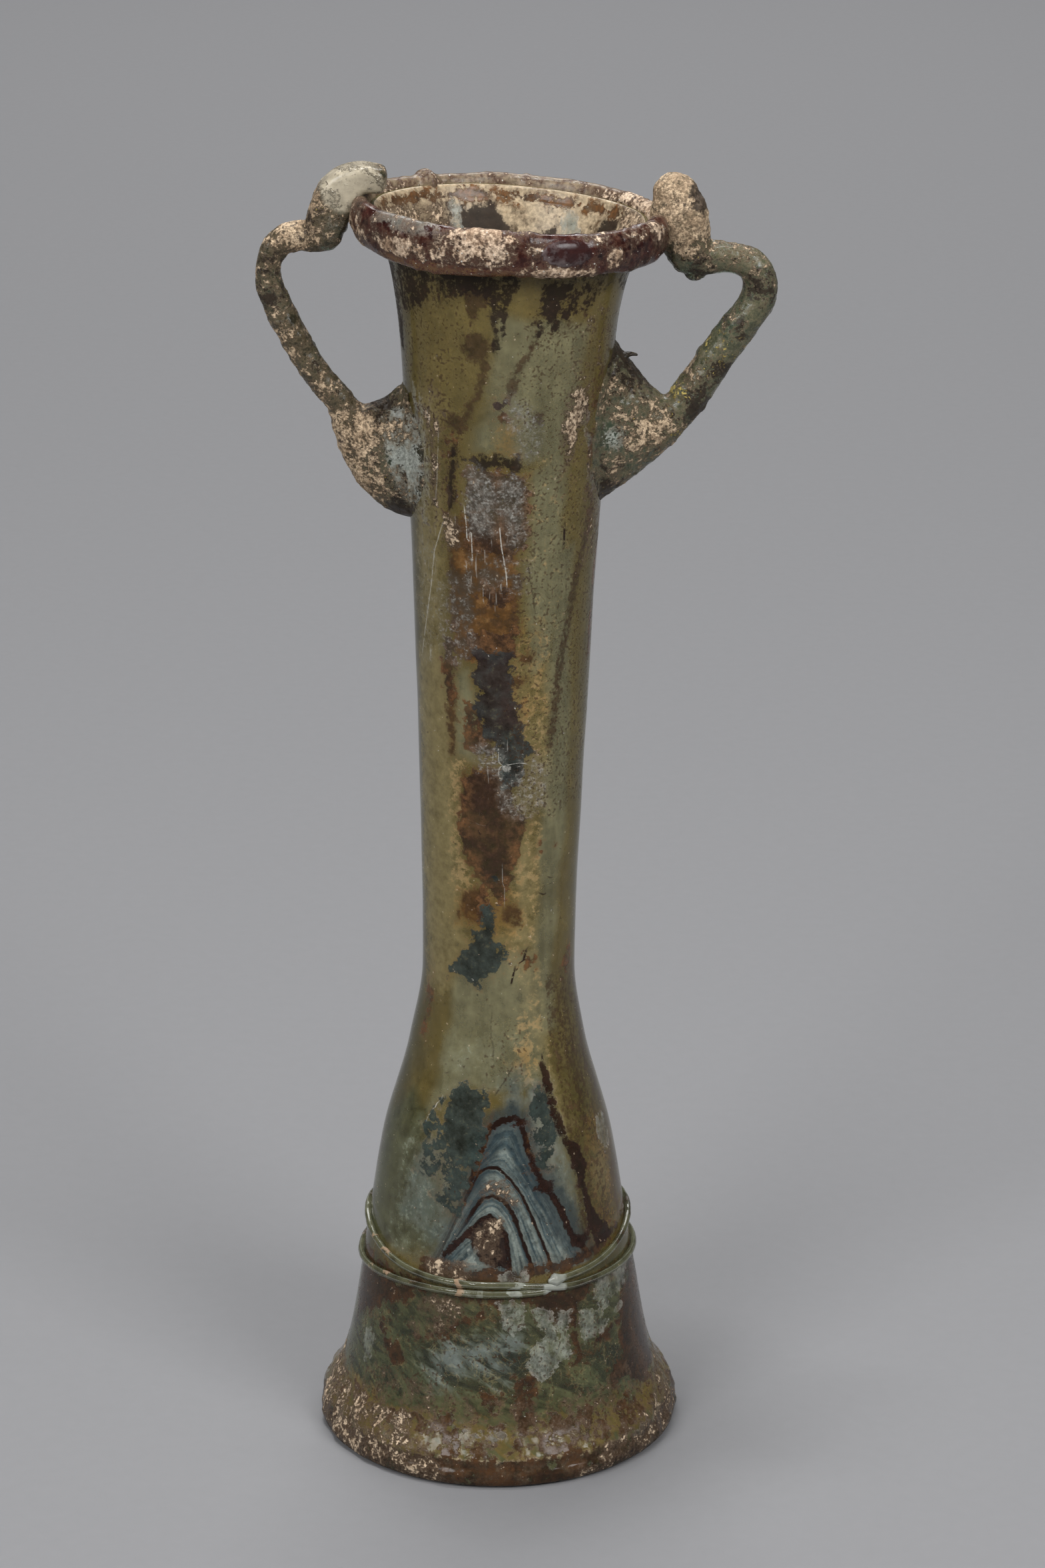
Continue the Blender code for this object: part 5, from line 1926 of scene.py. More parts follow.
@dataclass
class LipCoil:
    """The thick trail of dark glass wound round the lip."""

    form: FlaskForm
    setting: Setting
    finish: AubergineGlass
    level: float = 177.6
    half_width: float = 1.40
    half_height: float = 2.90
    inner: float = 18.75
    columns: int = 460
    sides: int = 48
    squareness: float = 2.5
    noise_radius: float = 21.0
    sag: tuple[float, float, float] = (-38.0, 30.0, 0.85)
    peak: tuple[float, float, float] = (-145.0, 3.2, 0.9)
    # Where the painted highlight on the coil's top lies: its turn, width and strength.
    painted_top_sheen: tuple[float, float, float] = (-40.0, 24.0, 1.1)
    amber: tuple[float, float, float] = (-15.0, 48.0, 1.0)
    blister: tuple[float, float, float, float] = (21.0, 9.5, 0.5, 1.7)

    def section(self) -> tuple[np.ndarray, np.ndarray, np.ndarray]:
        """Spaces the vertices round the lip and round the coil's own section.

        Returns:
            Each vertex's turn, and how far outward and upward it lies in the section, from -1 to 1.
        """
        turn = np.repeat(np.arange(self.columns) * FULL_TURN / self.columns, self.sides)
        section = np.tile(np.arange(self.sides) * math.tau / self.sides, self.columns)
        power = 2.0 / self.squareness
        wide = np.sign(np.cos(section)) * np.abs(np.cos(section)) ** power
        tall = np.sign(np.sin(section)) * np.abs(np.sin(section)) ** power
        return wrapped(turn), wide, tall

    def laid(self, turn: np.ndarray, wide: np.ndarray, tall: np.ndarray, grain: Grain) -> np.ndarray:
        """Lays the coil round the lip, uneven and sagging.

        Args:
            turn: The vertices' turns.
            wide: How far outward each lies in the section.
            tall: How far upward each lies in it.
            grain: The noise that makes it uneven.

        Returns:
            The upright vertices in millimetres.
        """
        angle = np.radians(turn)
        ring = np.stack([np.sin(angle), -np.cos(angle), np.zeros(len(angle))], axis=1) * self.noise_radius
        sway = grain.at(ring, 9.0, 2)
        swell = 1.0 + 0.05 * grain.at(ring + 50.0, 12.0, 2)
        back = smooth_step(np.abs(turn), 70.0, 110.0)
        half_height = self.half_height * swell * (1.0 - 0.10 * back)
        half_height += np.where(tall < 0.0, bells(turn, (self.sag,)), 0.0)
        radius = self.inner + self.half_width * swell * (1.0 + wide) + 0.10 * sway
        level = self.level + half_height * tall + 0.12 * sway
        radius += 0.35 * np.where(tall < 0.0, tall, 0.0) * (wide > -0.5)
        return np.stack([radius * np.sin(angle), -radius * np.cos(angle), level], axis=1)

    def build(self) -> bpy.types.Object:
        """Builds the coil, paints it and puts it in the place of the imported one.

        Returns:
            The finished piece.
        """
        grain = Grain(23)
        turn, wide, tall = self.section()
        upright = self.laid(turn, wide, tall, grain)
        level = upright[:, 2]
        settled = self.form.settle(upright)
        piece = new_piece("rim_coil_glass", settled, tube_faces(self.columns, self.sides, True))
        crusted = self.crusted(turn, level - self.level)
        lumps = grain.at(settled, 2.2, 3)
        grit = grain.at(settled, 0.9, 2)
        at, wide_by, above, tall_by = self.blister
        away = ((turn - at) / wide_by) ** 2 + ((level - self.level - above) / tall_by) ** 2
        blister = np.sqrt(np.clip(1.0 - away, 0.0, 1.0)) * (wide > -0.2)
        height = smooth_step(crusted + 1.4 * lumps, -0.2, 1.0) * (0.12 + 0.12 * grit)
        height = (height + 0.09 * lumps) * (1.0 - 0.8 * (blister > 0.0)) + 0.42 * blister
        height += bells(turn, (self.peak,)) * (tall > 0.2)
        write_points(piece.data, self.setting.place(pushed(piece.data, settled, height)))
        write_attribute(piece.data, "crusted", crusted)
        write_attribute(piece.data, "blister", blister)
        # Painted highlight: lightens the upper half of the coil round its front left.
        top = smooth_step(level - self.level, -0.4, 2.2)
        write_attribute(piece.data, "painted_top_sheen", top * bells(turn, (self.painted_top_sheen,)))
        under = smooth_step(self.level - level, 1.6, 2.6) * bells(turn, (self.amber,))
        behind = smooth_step(np.abs(turn), 66.0, 92.0) * smooth_step(level - self.level, 0.2, 1.4)
        write_attribute(piece.data, "amber", under)
        write_attribute(piece.data, "dusty", np.maximum(behind, smooth_step(np.abs(turn), 90.0, 120.0)))
        piece.data.materials.append(self.finish.material())
        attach(piece, "root")
        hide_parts("rim_coil")
        return piece

    def crusted(self, turn: np.ndarray, height: np.ndarray) -> np.ndarray:
        """Paints where crust gathers on the coil.

        Args:
            turn: The vertices' turns.
            height: Their heights above the coil's middle.

        Returns:
            A number for each vertex, above 0 where there is more crust.
        """
        dabs = (
            (-43.0, 10.0, -1.0, 1.2, 3.2), (-14.0, 17.0, -0.4, 1.4, 1.5), (-10.0, 12.0, 2.2, 1.0, 3.2),
            (18.0, 15.0, -2.4, 0.8, 2.6), (41.0, 3.2, -0.4, 1.3, 2.8), (-78.0, 12.0, -1.0, 2.0, 1.9),
            (60.0, 16.0, 2.2, 1.2, 0.9), (98.0, 26.0, 2.2, 1.5, 2.2), (-118.0, 26.0, 1.4, 1.8, 0.5),
        )
        total = np.full(len(turn), -0.4) - 0.4 * smooth_step(turn, 42.0, 60.0) * (turn < 95.0)
        for middle, wide, middle_height, tall, amount in dabs:
            share = (wrapped(turn - middle) / wide) ** 2 + ((height - middle_height) / tall) ** 2
            total += amount * np.exp(-share)
        return total


@dataclass
class BodyThread:
    """The thin thread wound twice round the body, made as a curve with a swept section."""

    form: FlaskForm
    setting: Setting
    finish: ThreadGlass
    level: float = 28.8
    step_down: float = 1.3
    start: float = 22.0
    end: float = 743.0
    first_turn_lift: float = 3.4
    second_turn_drop: float = 2.4
    swing_span: float = 1.1
    step_start: float = 362.0
    step_degrees: float = 34.0
    thickness: float = 0.9
    height: float = 1.1
    points_per_turn: int = 360
    sides: int = 20
    ribs: int = 5
    unevenness: float = 0.05
    lump_size: float = 1.6
    seed: int = 5
    swellings: tuple[tuple[float, float, float], ...] = ((24.5, 2.6, 0.9), (344.0, 1.6, 0.35))
    pink_places: tuple[tuple[float, float, float], ...] = (
        (-64.0, 4.0, 1.0), (-55.0, 3.0, 1.0), (-16.0, 2.0, 1.3))

    def path(self) -> tuple[np.ndarray, np.ndarray]:
        """Winds the thread round the body.

        Returns:
            The settled points of the thread and its swelling at each.
        """
        count = int((self.end - self.start) / FULL_TURN * self.points_per_turn)
        degrees = np.linspace(self.start, self.end, count)
        angle = np.radians(degrees)
        share = smooth_step(degrees, self.step_start, self.step_start + self.step_degrees)
        second = (degrees - FULL_TURN) / FULL_TURN
        swing = np.where(second > 0.0, -self.second_turn_drop * np.minimum(1.0, second), self.first_turn_lift)
        ease = smooth_step((1.0 - np.cos(angle)) / self.swing_span, 0.0, 1.0)
        level = self.level - self.step_down * share + swing * ease
        radius, slope = self.form.at(level)
        radius = radius + (self.thickness * 0.42) * np.hypot(1.0, slope)
        upright = np.stack([radius * np.sin(angle), -radius * np.cos(angle), level], axis=1)
        sway = Grain(31).at(upright, 7.0, 2)
        swell = 1.0 + 0.10 * sway + bells(degrees, self.swellings)
        ends = np.minimum(degrees - self.start, self.end - degrees)
        swell *= 0.35 + 0.65 * smooth_step(ends, 0.0, 3.0)
        return self.form.settle(upright), swell

    def build(self) -> bpy.types.Object:
        """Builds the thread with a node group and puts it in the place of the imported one.

        Returns:
            The finished piece.
        """
        path, swell = self.path()
        mesh = bpy.data.meshes.new("thread_path")
        edges = [(index, index + 1) for index in range(len(path) - 1)]
        mesh.from_pydata(self.setting.place(path).tolist(), edges, [])
        write_attribute(mesh, "swell", swell)
        drawing = linked("thread_path", mesh)
        sweep = TrailSweep("thread_sweep")
        modifier = drawing.modifiers.new("sweep", "NODES")
        modifier.node_group = sweep.tree
        sweep.set_inputs(modifier, {
            "Thickness": self.thickness * METRES_PER_MM, "Height": self.height * METRES_PER_MM,
            "Unevenness": self.unevenness * METRES_PER_MM, "Lump size": self.lump_size * METRES_PER_MM,
            "Sides": self.sides, "Seed": self.seed, "Material": self.finish.material(),
        })
        swept = frozen(drawing)
        swept.name = "body_thread_glass"
        swept.shade_smooth()
        piece = linked("body_thread_glass", swept)
        axis = np.array([self.setting.axis_x / METRES_PER_MM, 0.0, 0.0])
        points = read_vectors(swept.vertices, "co") / METRES_PER_MM - axis
        turn = np.degrees(np.arctan2(points[:, 0], -points[:, 1]))
        streaky = Grain(41).at(points, 3.0, 2) > 0.15
        whitened = bell(turn, 24.0, 5.0) + 0.7 * bell(turn, 6.0, 22.0) * streaky
        write_attribute(swept, "whitened", whitened)
        section = np.arange(len(points)) % self.sides * math.tau / self.sides
        write_attribute(swept, "rib", np.cos(self.ribs * section))
        write_attribute(swept, "pinked", bells(turn, self.pink_places))
        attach(piece, "root")
        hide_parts("body_thread")
        return piece


class TrailSweep(Nodes):
    """A geometry node group that sweeps an uneven oval along a drawn line."""

    INPUTS = (
        ("Geometry", "NodeSocketGeometry"), ("Thickness", "NodeSocketFloat"), ("Height", "NodeSocketFloat"),
        ("Unevenness", "NodeSocketFloat"), ("Lump size", "NodeSocketFloat"), ("Sides", "NodeSocketInt"),
        ("Seed", "NodeSocketInt"), ("Material", "NodeSocketMaterial"),
    )

    def __init__(self, name: str) -> None:
        """Builds the group.

        Args:
            name: The group's name.
        """
        super().__init__(bpy.data.node_groups.new(name, "GeometryNodeTree"))
        for label, kind in self.INPUTS:
            self.tree.interface.new_socket(label, in_out="INPUT", socket_type=kind)
        self.tree.interface.new_socket("Geometry", in_out="OUTPUT", socket_type="NodeSocketGeometry")
        outputs = self.tree.nodes.new("NodeGroupInput").outputs
        given = {label: Value(self, outputs[label]) for label, _ in self.INPUTS}
        line = self.node("GeometryNodeMeshToCurve", {}, {"Mesh": given["Geometry"]})
        upright = self.node("GeometryNodeSetCurveNormal", {"mode": "Z_UP"}, {0: line})
        half_unit = {"Resolution": given["Sides"], "Radius": 0.5}
        circle = self.node("GeometryNodeCurvePrimitiveCircle", {}, half_unit)
        size = self.node("ShaderNodeCombineXYZ", {}, {0: given["Thickness"], 1: given["Height"], 2: 1.0})
        oval = self.node("GeometryNodeTransform", {}, {"Geometry": circle, "Scale": size})
        swell = self.node("GeometryNodeInputNamedAttribute", {"data_type": "FLOAT"}, {"Name": "swell"})
        swept = self.node("GeometryNodeCurveToMesh", {}, {"Curve": upright, "Profile Curve": oval,
                                                          "Scale": swell, "Fill Caps": True})
        noise = {"Vector": self.node("GeometryNodeInputPosition", {}, {}), "W": given["Seed"],
                 "Scale": 1.0 / given["Lump size"], "Detail": 2.0}
        lumps = self.node("ShaderNodeTexNoise", {"noise_dimensions": "4D"}, noise, "Fac")
        push = (lumps - 0.5) * given["Unevenness"] * 4.0
        normal = self.node("GeometryNodeInputNormal", {}, {})
        offset = self.node("ShaderNodeVectorMath", {"operation": "SCALE"}, {0: normal, "Scale": push})
        moved = self.node("GeometryNodeSetPosition", {}, {"Geometry": swept, "Offset": offset})
        whole = self.node("GeometryNodeRealizeInstances", {}, {"Geometry": moved})
        coloured = {"Geometry": whole, "Material": given["Material"]}
        self.end("NodeGroupOutput", self.node("GeometryNodeSetMaterial", {}, coloured))

    def set_inputs(self, modifier: bpy.types.Modifier, values: dict) -> None:
        """Sets a modifier's inputs by the identifiers of their sockets.

        Args:
            modifier: The modifier that uses the group.
            values: The value for each named input.
        """
        for item in self.tree.interface.items_tree:
            if item.item_type == "SOCKET" and item.in_out == "INPUT" and item.name in values:
                modifier[item.identifier] = values[item.name]


@dataclass(frozen=True)
class Cut:
    """One cross-section of a trail in the plane of the handles, in upright millimetres."""

    x: float
    z: float
    across: tuple[float, float]
    half_width: float
    half_depth: float
    squareness: float = 2.0
    y: float = 0.0


HANDLE_FIELDS = ("crusted", "browned", "white", "yellow", "teal", "horn")


LEFT_DABS = """
crusted: -20.5,148,4.2,1.3 -18.5,141.5,2.6,1.6 -17,150,2.2,0.9 -28.5,161.5,2.2,1.2 -25,155,2.4,0.7
    -28,175.2,3.6,0.9 -24.8,181,2.2,1.6 -26,176.6,2.2,1.2 -12.3,146,1.8,-2.5 -19,183,1.6,-2
browned: -15.6,152.8,1.8,1.4 -13,138,2.2,1.6 -31,167,2.6,0.7 -30,172.5,2.2,0.6 -25.4,178.6,1.8,0.9
white: -13.4,149.5,2.2,2.6 -12.4,144,1.8,2.2 -22.5,177.4,2.2,0.9 -12.4,150.5,1.8,3 -12.2,145.5,1.9,3
    -12,141,1.6,2.4
teal: -16.2,144.6,2.2,1.3 -21,145,3,0.4
horn: -20.4,183.2,3.2,1.5 -17.2,182.6,2.6,1.2
"""


RIGHT_DABS = """
crusted: 21,149.5,3.6,1.2 17.4,155.8,3,0.9 16,142.6,2.4,0.9 24.2,180.6,5.4,4.2 26,157.4,1.8,1
    33.4,174.4,2.4,0.6 27.6,173.4,2,0.5
browned: 19.6,157.4,2.4,1.5 36,169,2.2,0.8 33,163,1.6,0.7 16.2,160.4,2.4,1.2 27.4,152.4,2.6,1.2
    30.6,157.6,2.2,1 14.8,141,2.2,1.4 27.4,181.4,1.5,1.8 27,171.8,2.2,0.8
yellow: 24.4,154.8,2,0.9 25,149,1.6,0.6 30,160.5,3.2,0.6
teal: 17.4,150.5,3,1.4 20.5,145.6,2.4,1.2 30,165,4,0.5 26.5,173.5,3,0.9
white: 16.4,149,2.2,1.3
"""


@dataclass
class Handle:
    """One handle: a pad on the neck, a rod bent back to the coil, and a fold over the lip."""

    form: FlaskForm
    setting: Setting
    finish: HandleGlass
    limits: tuple
    node: str
    slot: str
    side: float
    pad_drop: float
    pad_above: float
    pad_below: float
    pad_depth: float
    rod: float
    reach: float
    heel: tuple[float, float]
    crook: tuple[float, float]
    route: tuple[tuple[float, float, float], ...]
    fold_size: float
    fold_depth: float
    fold: tuple[tuple[float, float, float, float], ...]
    skirt: tuple[float, float, float, float]
    trails: tuple[tuple[tuple[float, ...], ...], ...]
    dabs: str
    seed: int
    fold_squareness: float = 2.6
    fold_dome: float = 1.0
    coil_level: float = 177.6
    coil_outer: float = 21.7
    voxel: float = 0.2
    sides: int = 28
    pad_steps: int = 16
    pad_sunk: float = 1.6
    dome_degrees: tuple[float, ...] = (18.0, 36.0, 54.0, 70.0, 83.0)
    skirt_rings: int = 16
    skirt_sides: int = 48
    skirt_sunk: float = 0.7

    def smooth(self, points: list, count: int) -> list[tuple[float, ...]]:
        """Draws a smooth line through points.

        Args:
            points: Tuples of numbers of one length.
            count: How many steps each span gets.

        Returns:
            The points of the line.
        """
        route = []
        for index in range(len(points) - 1):
            a = np.array(points[max(0, index - 1)])
            b = np.array(points[index])
            c = np.array(points[index + 1])
            d = np.array(points[min(len(points) - 1, index + 2)])
            for step in range(count):
                t = step / count
                route.append(0.5 * (2 * b + (c - a) * t + (2 * a - 5 * b + 4 * c - d) * t * t
                                    + (3 * b - a - 3 * c + d) * t**3))
        route.append(np.array(points[-1]))
        return route

    def cuts_along(self, route: list, squareness: float) -> list[Cut]:
        """Cuts a route square to its course.

        Args:
            route: Its places, each with x, z, half width and half depth.
            squareness: 2 for an oval section and more for a boxy one.

        Returns:
            The cuts in order.
        """
        cuts = []
        for index, (x, z, width, depth) in enumerate(route):
            before = route[max(0, index - 1)]
            after = route[min(len(route) - 1, index + 1)]
            along = np.array([after[0] - before[0], after[1] - before[1]])
            along /= max(np.hypot(*along), 1e-9)
            cuts.append(Cut(x, z, (-along[1], along[0]), width, depth, squareness))
        return cuts

    def pad_cuts(self, foot: Cut) -> list[Cut]:
        """Cuts the pad, from inside the wall out to the foot of the rod.

        Args:
            foot: The rod's first cut.

        Returns:
            The cuts in order.
        """
        middle = self.coil_level - self.pad_drop
        skin = self.form.radius(middle)
        top = middle + self.pad_above
        bottom = middle - self.pad_below
        upper = np.array([foot.x, foot.z]) + np.array(foot.across) * foot.half_width
        lower = np.array([foot.x, foot.z]) - np.array(foot.across) * foot.half_width
        if abs(upper[0]) > abs(lower[0]):
            upper, lower = lower, upper
        neck_top = np.array([self.side * self.form.radius(top), top])
        neck_bottom = np.array([self.side * self.form.radius(bottom), bottom])
        crook = np.array([self.side * (skin + self.crook[0] * self.reach),
                          middle + self.crook[1] * self.pad_above])
        heel = np.array([self.side * (skin + self.heel[0] * self.reach),
                         middle + self.heel[1] * self.pad_below])
        cuts = []
        for index in range(self.pad_steps):
            t = index / self.pad_steps
            high = neck_top * (1 - t) ** 2 + crook * 2 * t * (1 - t) + upper * t * t
            low = neck_bottom * (1 - t) ** 2 + heel * 2 * t * (1 - t) + lower * t * t
            span = high - low
            length = np.hypot(*span)
            centre = (high + low) / 2.0
            depth = foot.half_depth + (self.pad_depth / 2.0 - foot.half_depth) * (1.0 - t) ** 1.5
            cuts.append(Cut(centre[0], centre[1], tuple(span / length), length / 2.0, depth))
        root = cuts[0]
        inner = Cut(root.x - self.side * self.pad_sunk, root.z, root.across, root.half_width, root.half_depth)
        return [inner] + cuts

    def loft(self, cuts: list[Cut], dome: float = 1.0) -> tuple[np.ndarray, list]:
        """Lofts a closed skin with domed ends through the cuts.

        Args:
            cuts: The cross-sections in order.
            dome: How round the last end is, 1 for a half ball and less for a blunt end.

        Returns:
            The upright vertices and the faces.
        """
        whole = list(cuts)
        for at_end in (False, True):
            last = whole[-1] if at_end else whole[0]
            inner = whole[-2] if at_end else whole[1]
            away = np.array([last.x - inner.x, last.z - inner.z])
            away /= max(np.hypot(*away), 1e-9)
            reach = min(last.half_width, last.half_depth) * (dome if at_end else 1.0)
            extra = []
            for degrees in self.dome_degrees:
                turn = math.radians(degrees)
                centre = np.array([last.x, last.z]) + away * reach * math.sin(turn)
                extra.append(Cut(centre[0], centre[1], last.across, last.half_width * math.cos(turn),
                                 last.half_depth * math.cos(turn), last.squareness, last.y))
            whole = whole + extra if at_end else extra[::-1] + whole
        points = []
        for cut in whole:
            for side in range(self.sides):
                angle = math.tau * side / self.sides
                power = 2.0 / cut.squareness
                wide = math.copysign(abs(math.cos(angle)) ** power, math.cos(angle)) * cut.half_width
                deep = math.copysign(abs(math.sin(angle)) ** power, math.sin(angle)) * cut.half_depth
                points.append((cut.x + cut.across[0] * wide, cut.y + deep, cut.z + cut.across[1] * wide))
        faces = tube_faces(len(whole), self.sides)
        faces.append(tuple(range(self.sides))[::-1])
        faces.append(tuple((len(whole) - 1) * self.sides + side for side in range(self.sides)))
        return np.array(points), faces

    def skirt_mesh(self) -> tuple[np.ndarray, list]:
        """Makes the thin spread of glass where the pad melted onto the neck.

        Returns:
            The upright vertices and the faces.
        """
        half_turn, half_height, thick, drop = self.skirt
        middle = self.coil_level - self.pad_drop + drop
        around = self.skirt_sides
        rings = self.skirt_rings
        points = []
        for outer in (True, False):
            for ring in range(rings + 1):
                share = ring / rings
                lift = thick * (1.0 - share**2.2) if outer else -self.skirt_sunk
                for step in range(around):
                    angle = math.tau * step / around
                    bearing = math.radians(self.side * 90.0 + share * half_turn * math.cos(angle))
                    level = middle + share * half_height * math.sin(angle)
                    radius = self.form.radius(level) + lift
                    points.append((radius * math.sin(bearing), -radius * math.cos(bearing), level))
        size = (rings + 1) * around
        faces = tube_faces(rings + 1, around) + tube_faces(rings + 1, around, start=size)
        edge = rings * around
        for step in range(around):
            beside = (step + 1) % around
            faces.append((edge + step, edge + beside, size + edge + beside, size + edge + step))
        return np.array(points), faces

    def parts(self) -> list[tuple[np.ndarray, list]]:
        """Draws every closed form that the handle is melted together from.

        Returns:
            The settled vertices and the faces of each.
        """
        middle = self.coil_level - self.pad_drop
        skin = self.form.radius(middle)
        rod = self.rod / 2.0
        route = [(self.side * (skin + out * self.reach), middle + up * self.pad_drop, rod * thick,
                  rod * thick) for out, up, thick in self.route]
        rod_cuts = self.cuts_along(self.smooth(route, 7), 2.0)
        cuts = self.pad_cuts(rod_cuts[0])
        for cut in rod_cuts:
            flip = cut.across[0] * cuts[-1].across[0] + cut.across[1] * cuts[-1].across[1] < 0.0
            across = (-cut.across[0], -cut.across[1]) if flip else cut.across
            cuts.append(Cut(cut.x, cut.z, across, cut.half_width, cut.half_depth))
        fold = [(self.side * (self.coil_outer + out * self.fold_size), self.coil_level + up * self.fold_size,
                 thick * self.fold_size / 2.0, deep * self.fold_depth / 2.0)
                for out, up, thick, deep in self.fold]
        folded = self.loft(self.cuts_along(self.smooth(fold, 6), self.fold_squareness), self.fold_dome)
        made = [self.loft(cuts), folded, self.skirt_mesh()]
        settled = [(self.form.settle(points), faces) for points, faces in made]
        for trail in self.trails:
            line = self.smooth([point[:5] for point in trail], 6)
            flat = self.cuts_along([(p[0], p[2], p[3], p[4]) for p in line], 2.0)
            placed = [Cut(c.x, c.z, c.across, c.half_width, c.half_depth, 2.0, p[1])
                      for c, p in zip(flat, line)]
            settled.append(self.loft(placed))
        return settled

    def melted(self) -> bpy.types.Mesh:
        """Melts the parts into one skin.

        Returns:
            A mesh in settled millimetres.
        """
        points = []
        faces = []
        count = 0
        for part_points, part_faces in self.parts():
            piece = new_piece("part", part_points, part_faces)
            clean = [tuple(face.vertices) for face in piece.data.polygons]
            bpy.data.objects.remove(piece)
            points.append(part_points)
            faces += [tuple(count + index for index in face) for face in clean]
            count += len(part_points)
        lump = new_piece(self.node + "_lump", np.concatenate(points), faces, False)
        melt = lump.modifiers.new("melt", "REMESH")
        melt.mode = "VOXEL"
        melt.voxel_size = self.voxel
        soften = lump.modifiers.new("soften", "SMOOTH")
        soften.factor = 0.5
        soften.iterations = 6
        return frozen(lump)

    def build(self) -> bpy.types.Object:
        """Builds the handle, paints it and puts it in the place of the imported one.

        Returns:
            The finished piece.
        """
        mesh = self.melted()
        mesh.name = self.node + "_glass"
        mesh.materials.clear()
        mesh.shade_smooth()
        points = read_vectors(mesh.vertices, "co")
        fields = {name: np.zeros(len(points)) for name in HANDLE_FIELDS}
        for (name,), places in read_table(self.dabs):
            for x, z, size, amount in places:
                fields[name] += amount * bell(np.hypot(points[:, 0] - x, points[:, 2] - z), 0.0, size)
        grain = Grain(self.seed)
        bent = grain.at(points, 6.0, 2)
        lumps = grain.at(points, 2.0, 3)
        grit = grain.at(points, 0.8, 2)
        smooth = np.clip(fields["horn"], 0.0, 1.0)
        crust = smooth_step(fields["crusted"] + 1.2 * lumps, -0.2, 0.9)
        rough = 0.10 * lumps + 0.05 * grit + crust * (0.05 + 0.07 * grit)
        height = 0.10 * bent + rough * (1.0 - 0.85 * smooth)
        points = self.setting.place(pushed(mesh, points, height))
        low, high = self.limits
        write_points(mesh, np.clip(points, np.array(low), np.array(high)))
        for name, field in fields.items():
            write_attribute(mesh, name, field)
        piece = linked(self.node + "_glass", mesh)
        mesh.materials.append(self.finish.material())
        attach(piece, "root")
        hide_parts(self.node)
        return piece


def left_handle(form: FlaskForm, setting: Setting, limits: tuple) -> Handle:
    """Draws the left handle, with its flat folded tab.

    Args:
        form: The flask's form.
        setting: Where the flask stands in the frame.
        limits: The corners of the box that it stays inside.

    Returns:
        The drawing.
    """
    return Handle(
        form, setting, HandleGlass("blue_green_glass_dressed"), limits, "handle_left", "blue_green_glass",
        side=-1.0, pad_drop=31.5, pad_above=9.0, pad_below=9.8, pad_depth=9.8, rod=3.8, reach=18.9,
        heel=(0.41, -0.83), crook=(0.32, 0.44),
        route=((0.489, 0.219, 1.05), (0.649, 0.338, 0.97), (0.776, 0.458, 1.03), (0.886, 0.577, 1.05),
               (0.968, 0.672, 1.00), (1.000, 0.758, 0.90), (0.968, 0.818, 0.90), (0.893, 0.865, 0.90),
               (0.795, 0.886, 0.95), (0.623, 0.890, 1.00)),
        fold_size=10.0, fold_depth=6.0,
        fold=((0.30, -0.30, 0.44, 0.80), (0.29, -0.18, 0.54, 0.90), (0.24, 0.02, 0.56, 0.96),
              (0.15, 0.22, 0.56, 1.00), (0.02, 0.38, 0.50, 1.00), (-0.16, 0.485, 0.42, 1.00),
              (-0.34, 0.49, 0.38, 1.00), (-0.44, 0.48, 0.36, 0.98)),
        fold_squareness=4.0, fold_dome=0.5,
        skirt=(36.0, 9.6, 0.9, 0.0),
        trails=(
            ((-17.8, -0.4, 151.2, 0.8, 1.7), (-15.8, -0.4, 152.0, 0.9, 1.7), (-14.0, -0.4, 153.2, 0.8, 1.4),
             (-13.1, -0.4, 154.8, 0.35, 0.7)),
            ((-12.0, -4.9, 155.0, 0.35, 0.35), (-12.1, -5.6, 148.0, 0.4, 0.4),
             (-11.6, -5.6, 140.0, 0.3, 0.3)),
        ),
        dabs=LEFT_DABS,
        seed=51,
    )


def right_handle(form: FlaskForm, setting: Setting, limits: tuple) -> Handle:
    """Draws the right handle, which is thicker and ends in a knob.

    Args:
        form: The flask's form.
        setting: Where the flask stands in the frame.
        limits: The corners of the box that it stays inside.

    Returns:
        The drawing.
    """
    finish = HandleGlass("teal_glass_dressed", -0.022, deep=(0.135, 0.135, 0.080), teal=(0.090, 0.120, 0.078))
    return Handle(
        form, setting, finish, limits, "handle_right", "teal_glass",
        side=1.0, pad_drop=27.3, pad_above=11.1, pad_below=11.2, pad_depth=11.2, rod=5.1, reach=20.1,
        heel=(0.35, -0.56), crook=(0.40, 0.05),
        route=((0.528, 0.106, 1.07), (0.608, 0.190, 1.00), (0.728, 0.330, 0.97), (0.850, 0.459, 1.00),
               (0.952, 0.586, 1.02), (1.000, 0.709, 0.95), (0.990, 0.803, 0.95), (0.923, 0.867, 0.95),
               (0.797, 0.888, 0.86), (0.669, 0.886, 0.95), (0.542, 0.882, 0.95)),
        fold_size=10.0, fold_depth=7.2,
        fold=((0.06, 0.51, 0.62, 0.86), (0.09, 0.37, 0.76, 1.00), (0.145, 0.12, 0.74, 1.00),
              (0.23, -0.15, 0.64, 0.86), (0.30, -0.38, 0.50, 0.72), (0.34, -0.49, 0.34, 0.46)),
        skirt=(33.0, 11.2, 0.7, 0.0),
        trails=(
            ((17.0, -0.6, 159.2, 0.5, 0.9), (18.2, -0.7, 159.6, 0.4, 0.7), (19.1, -0.7, 159.5, 0.28, 0.4)),
        ),
        dabs=RIGHT_DABS,
        seed=61,
    )


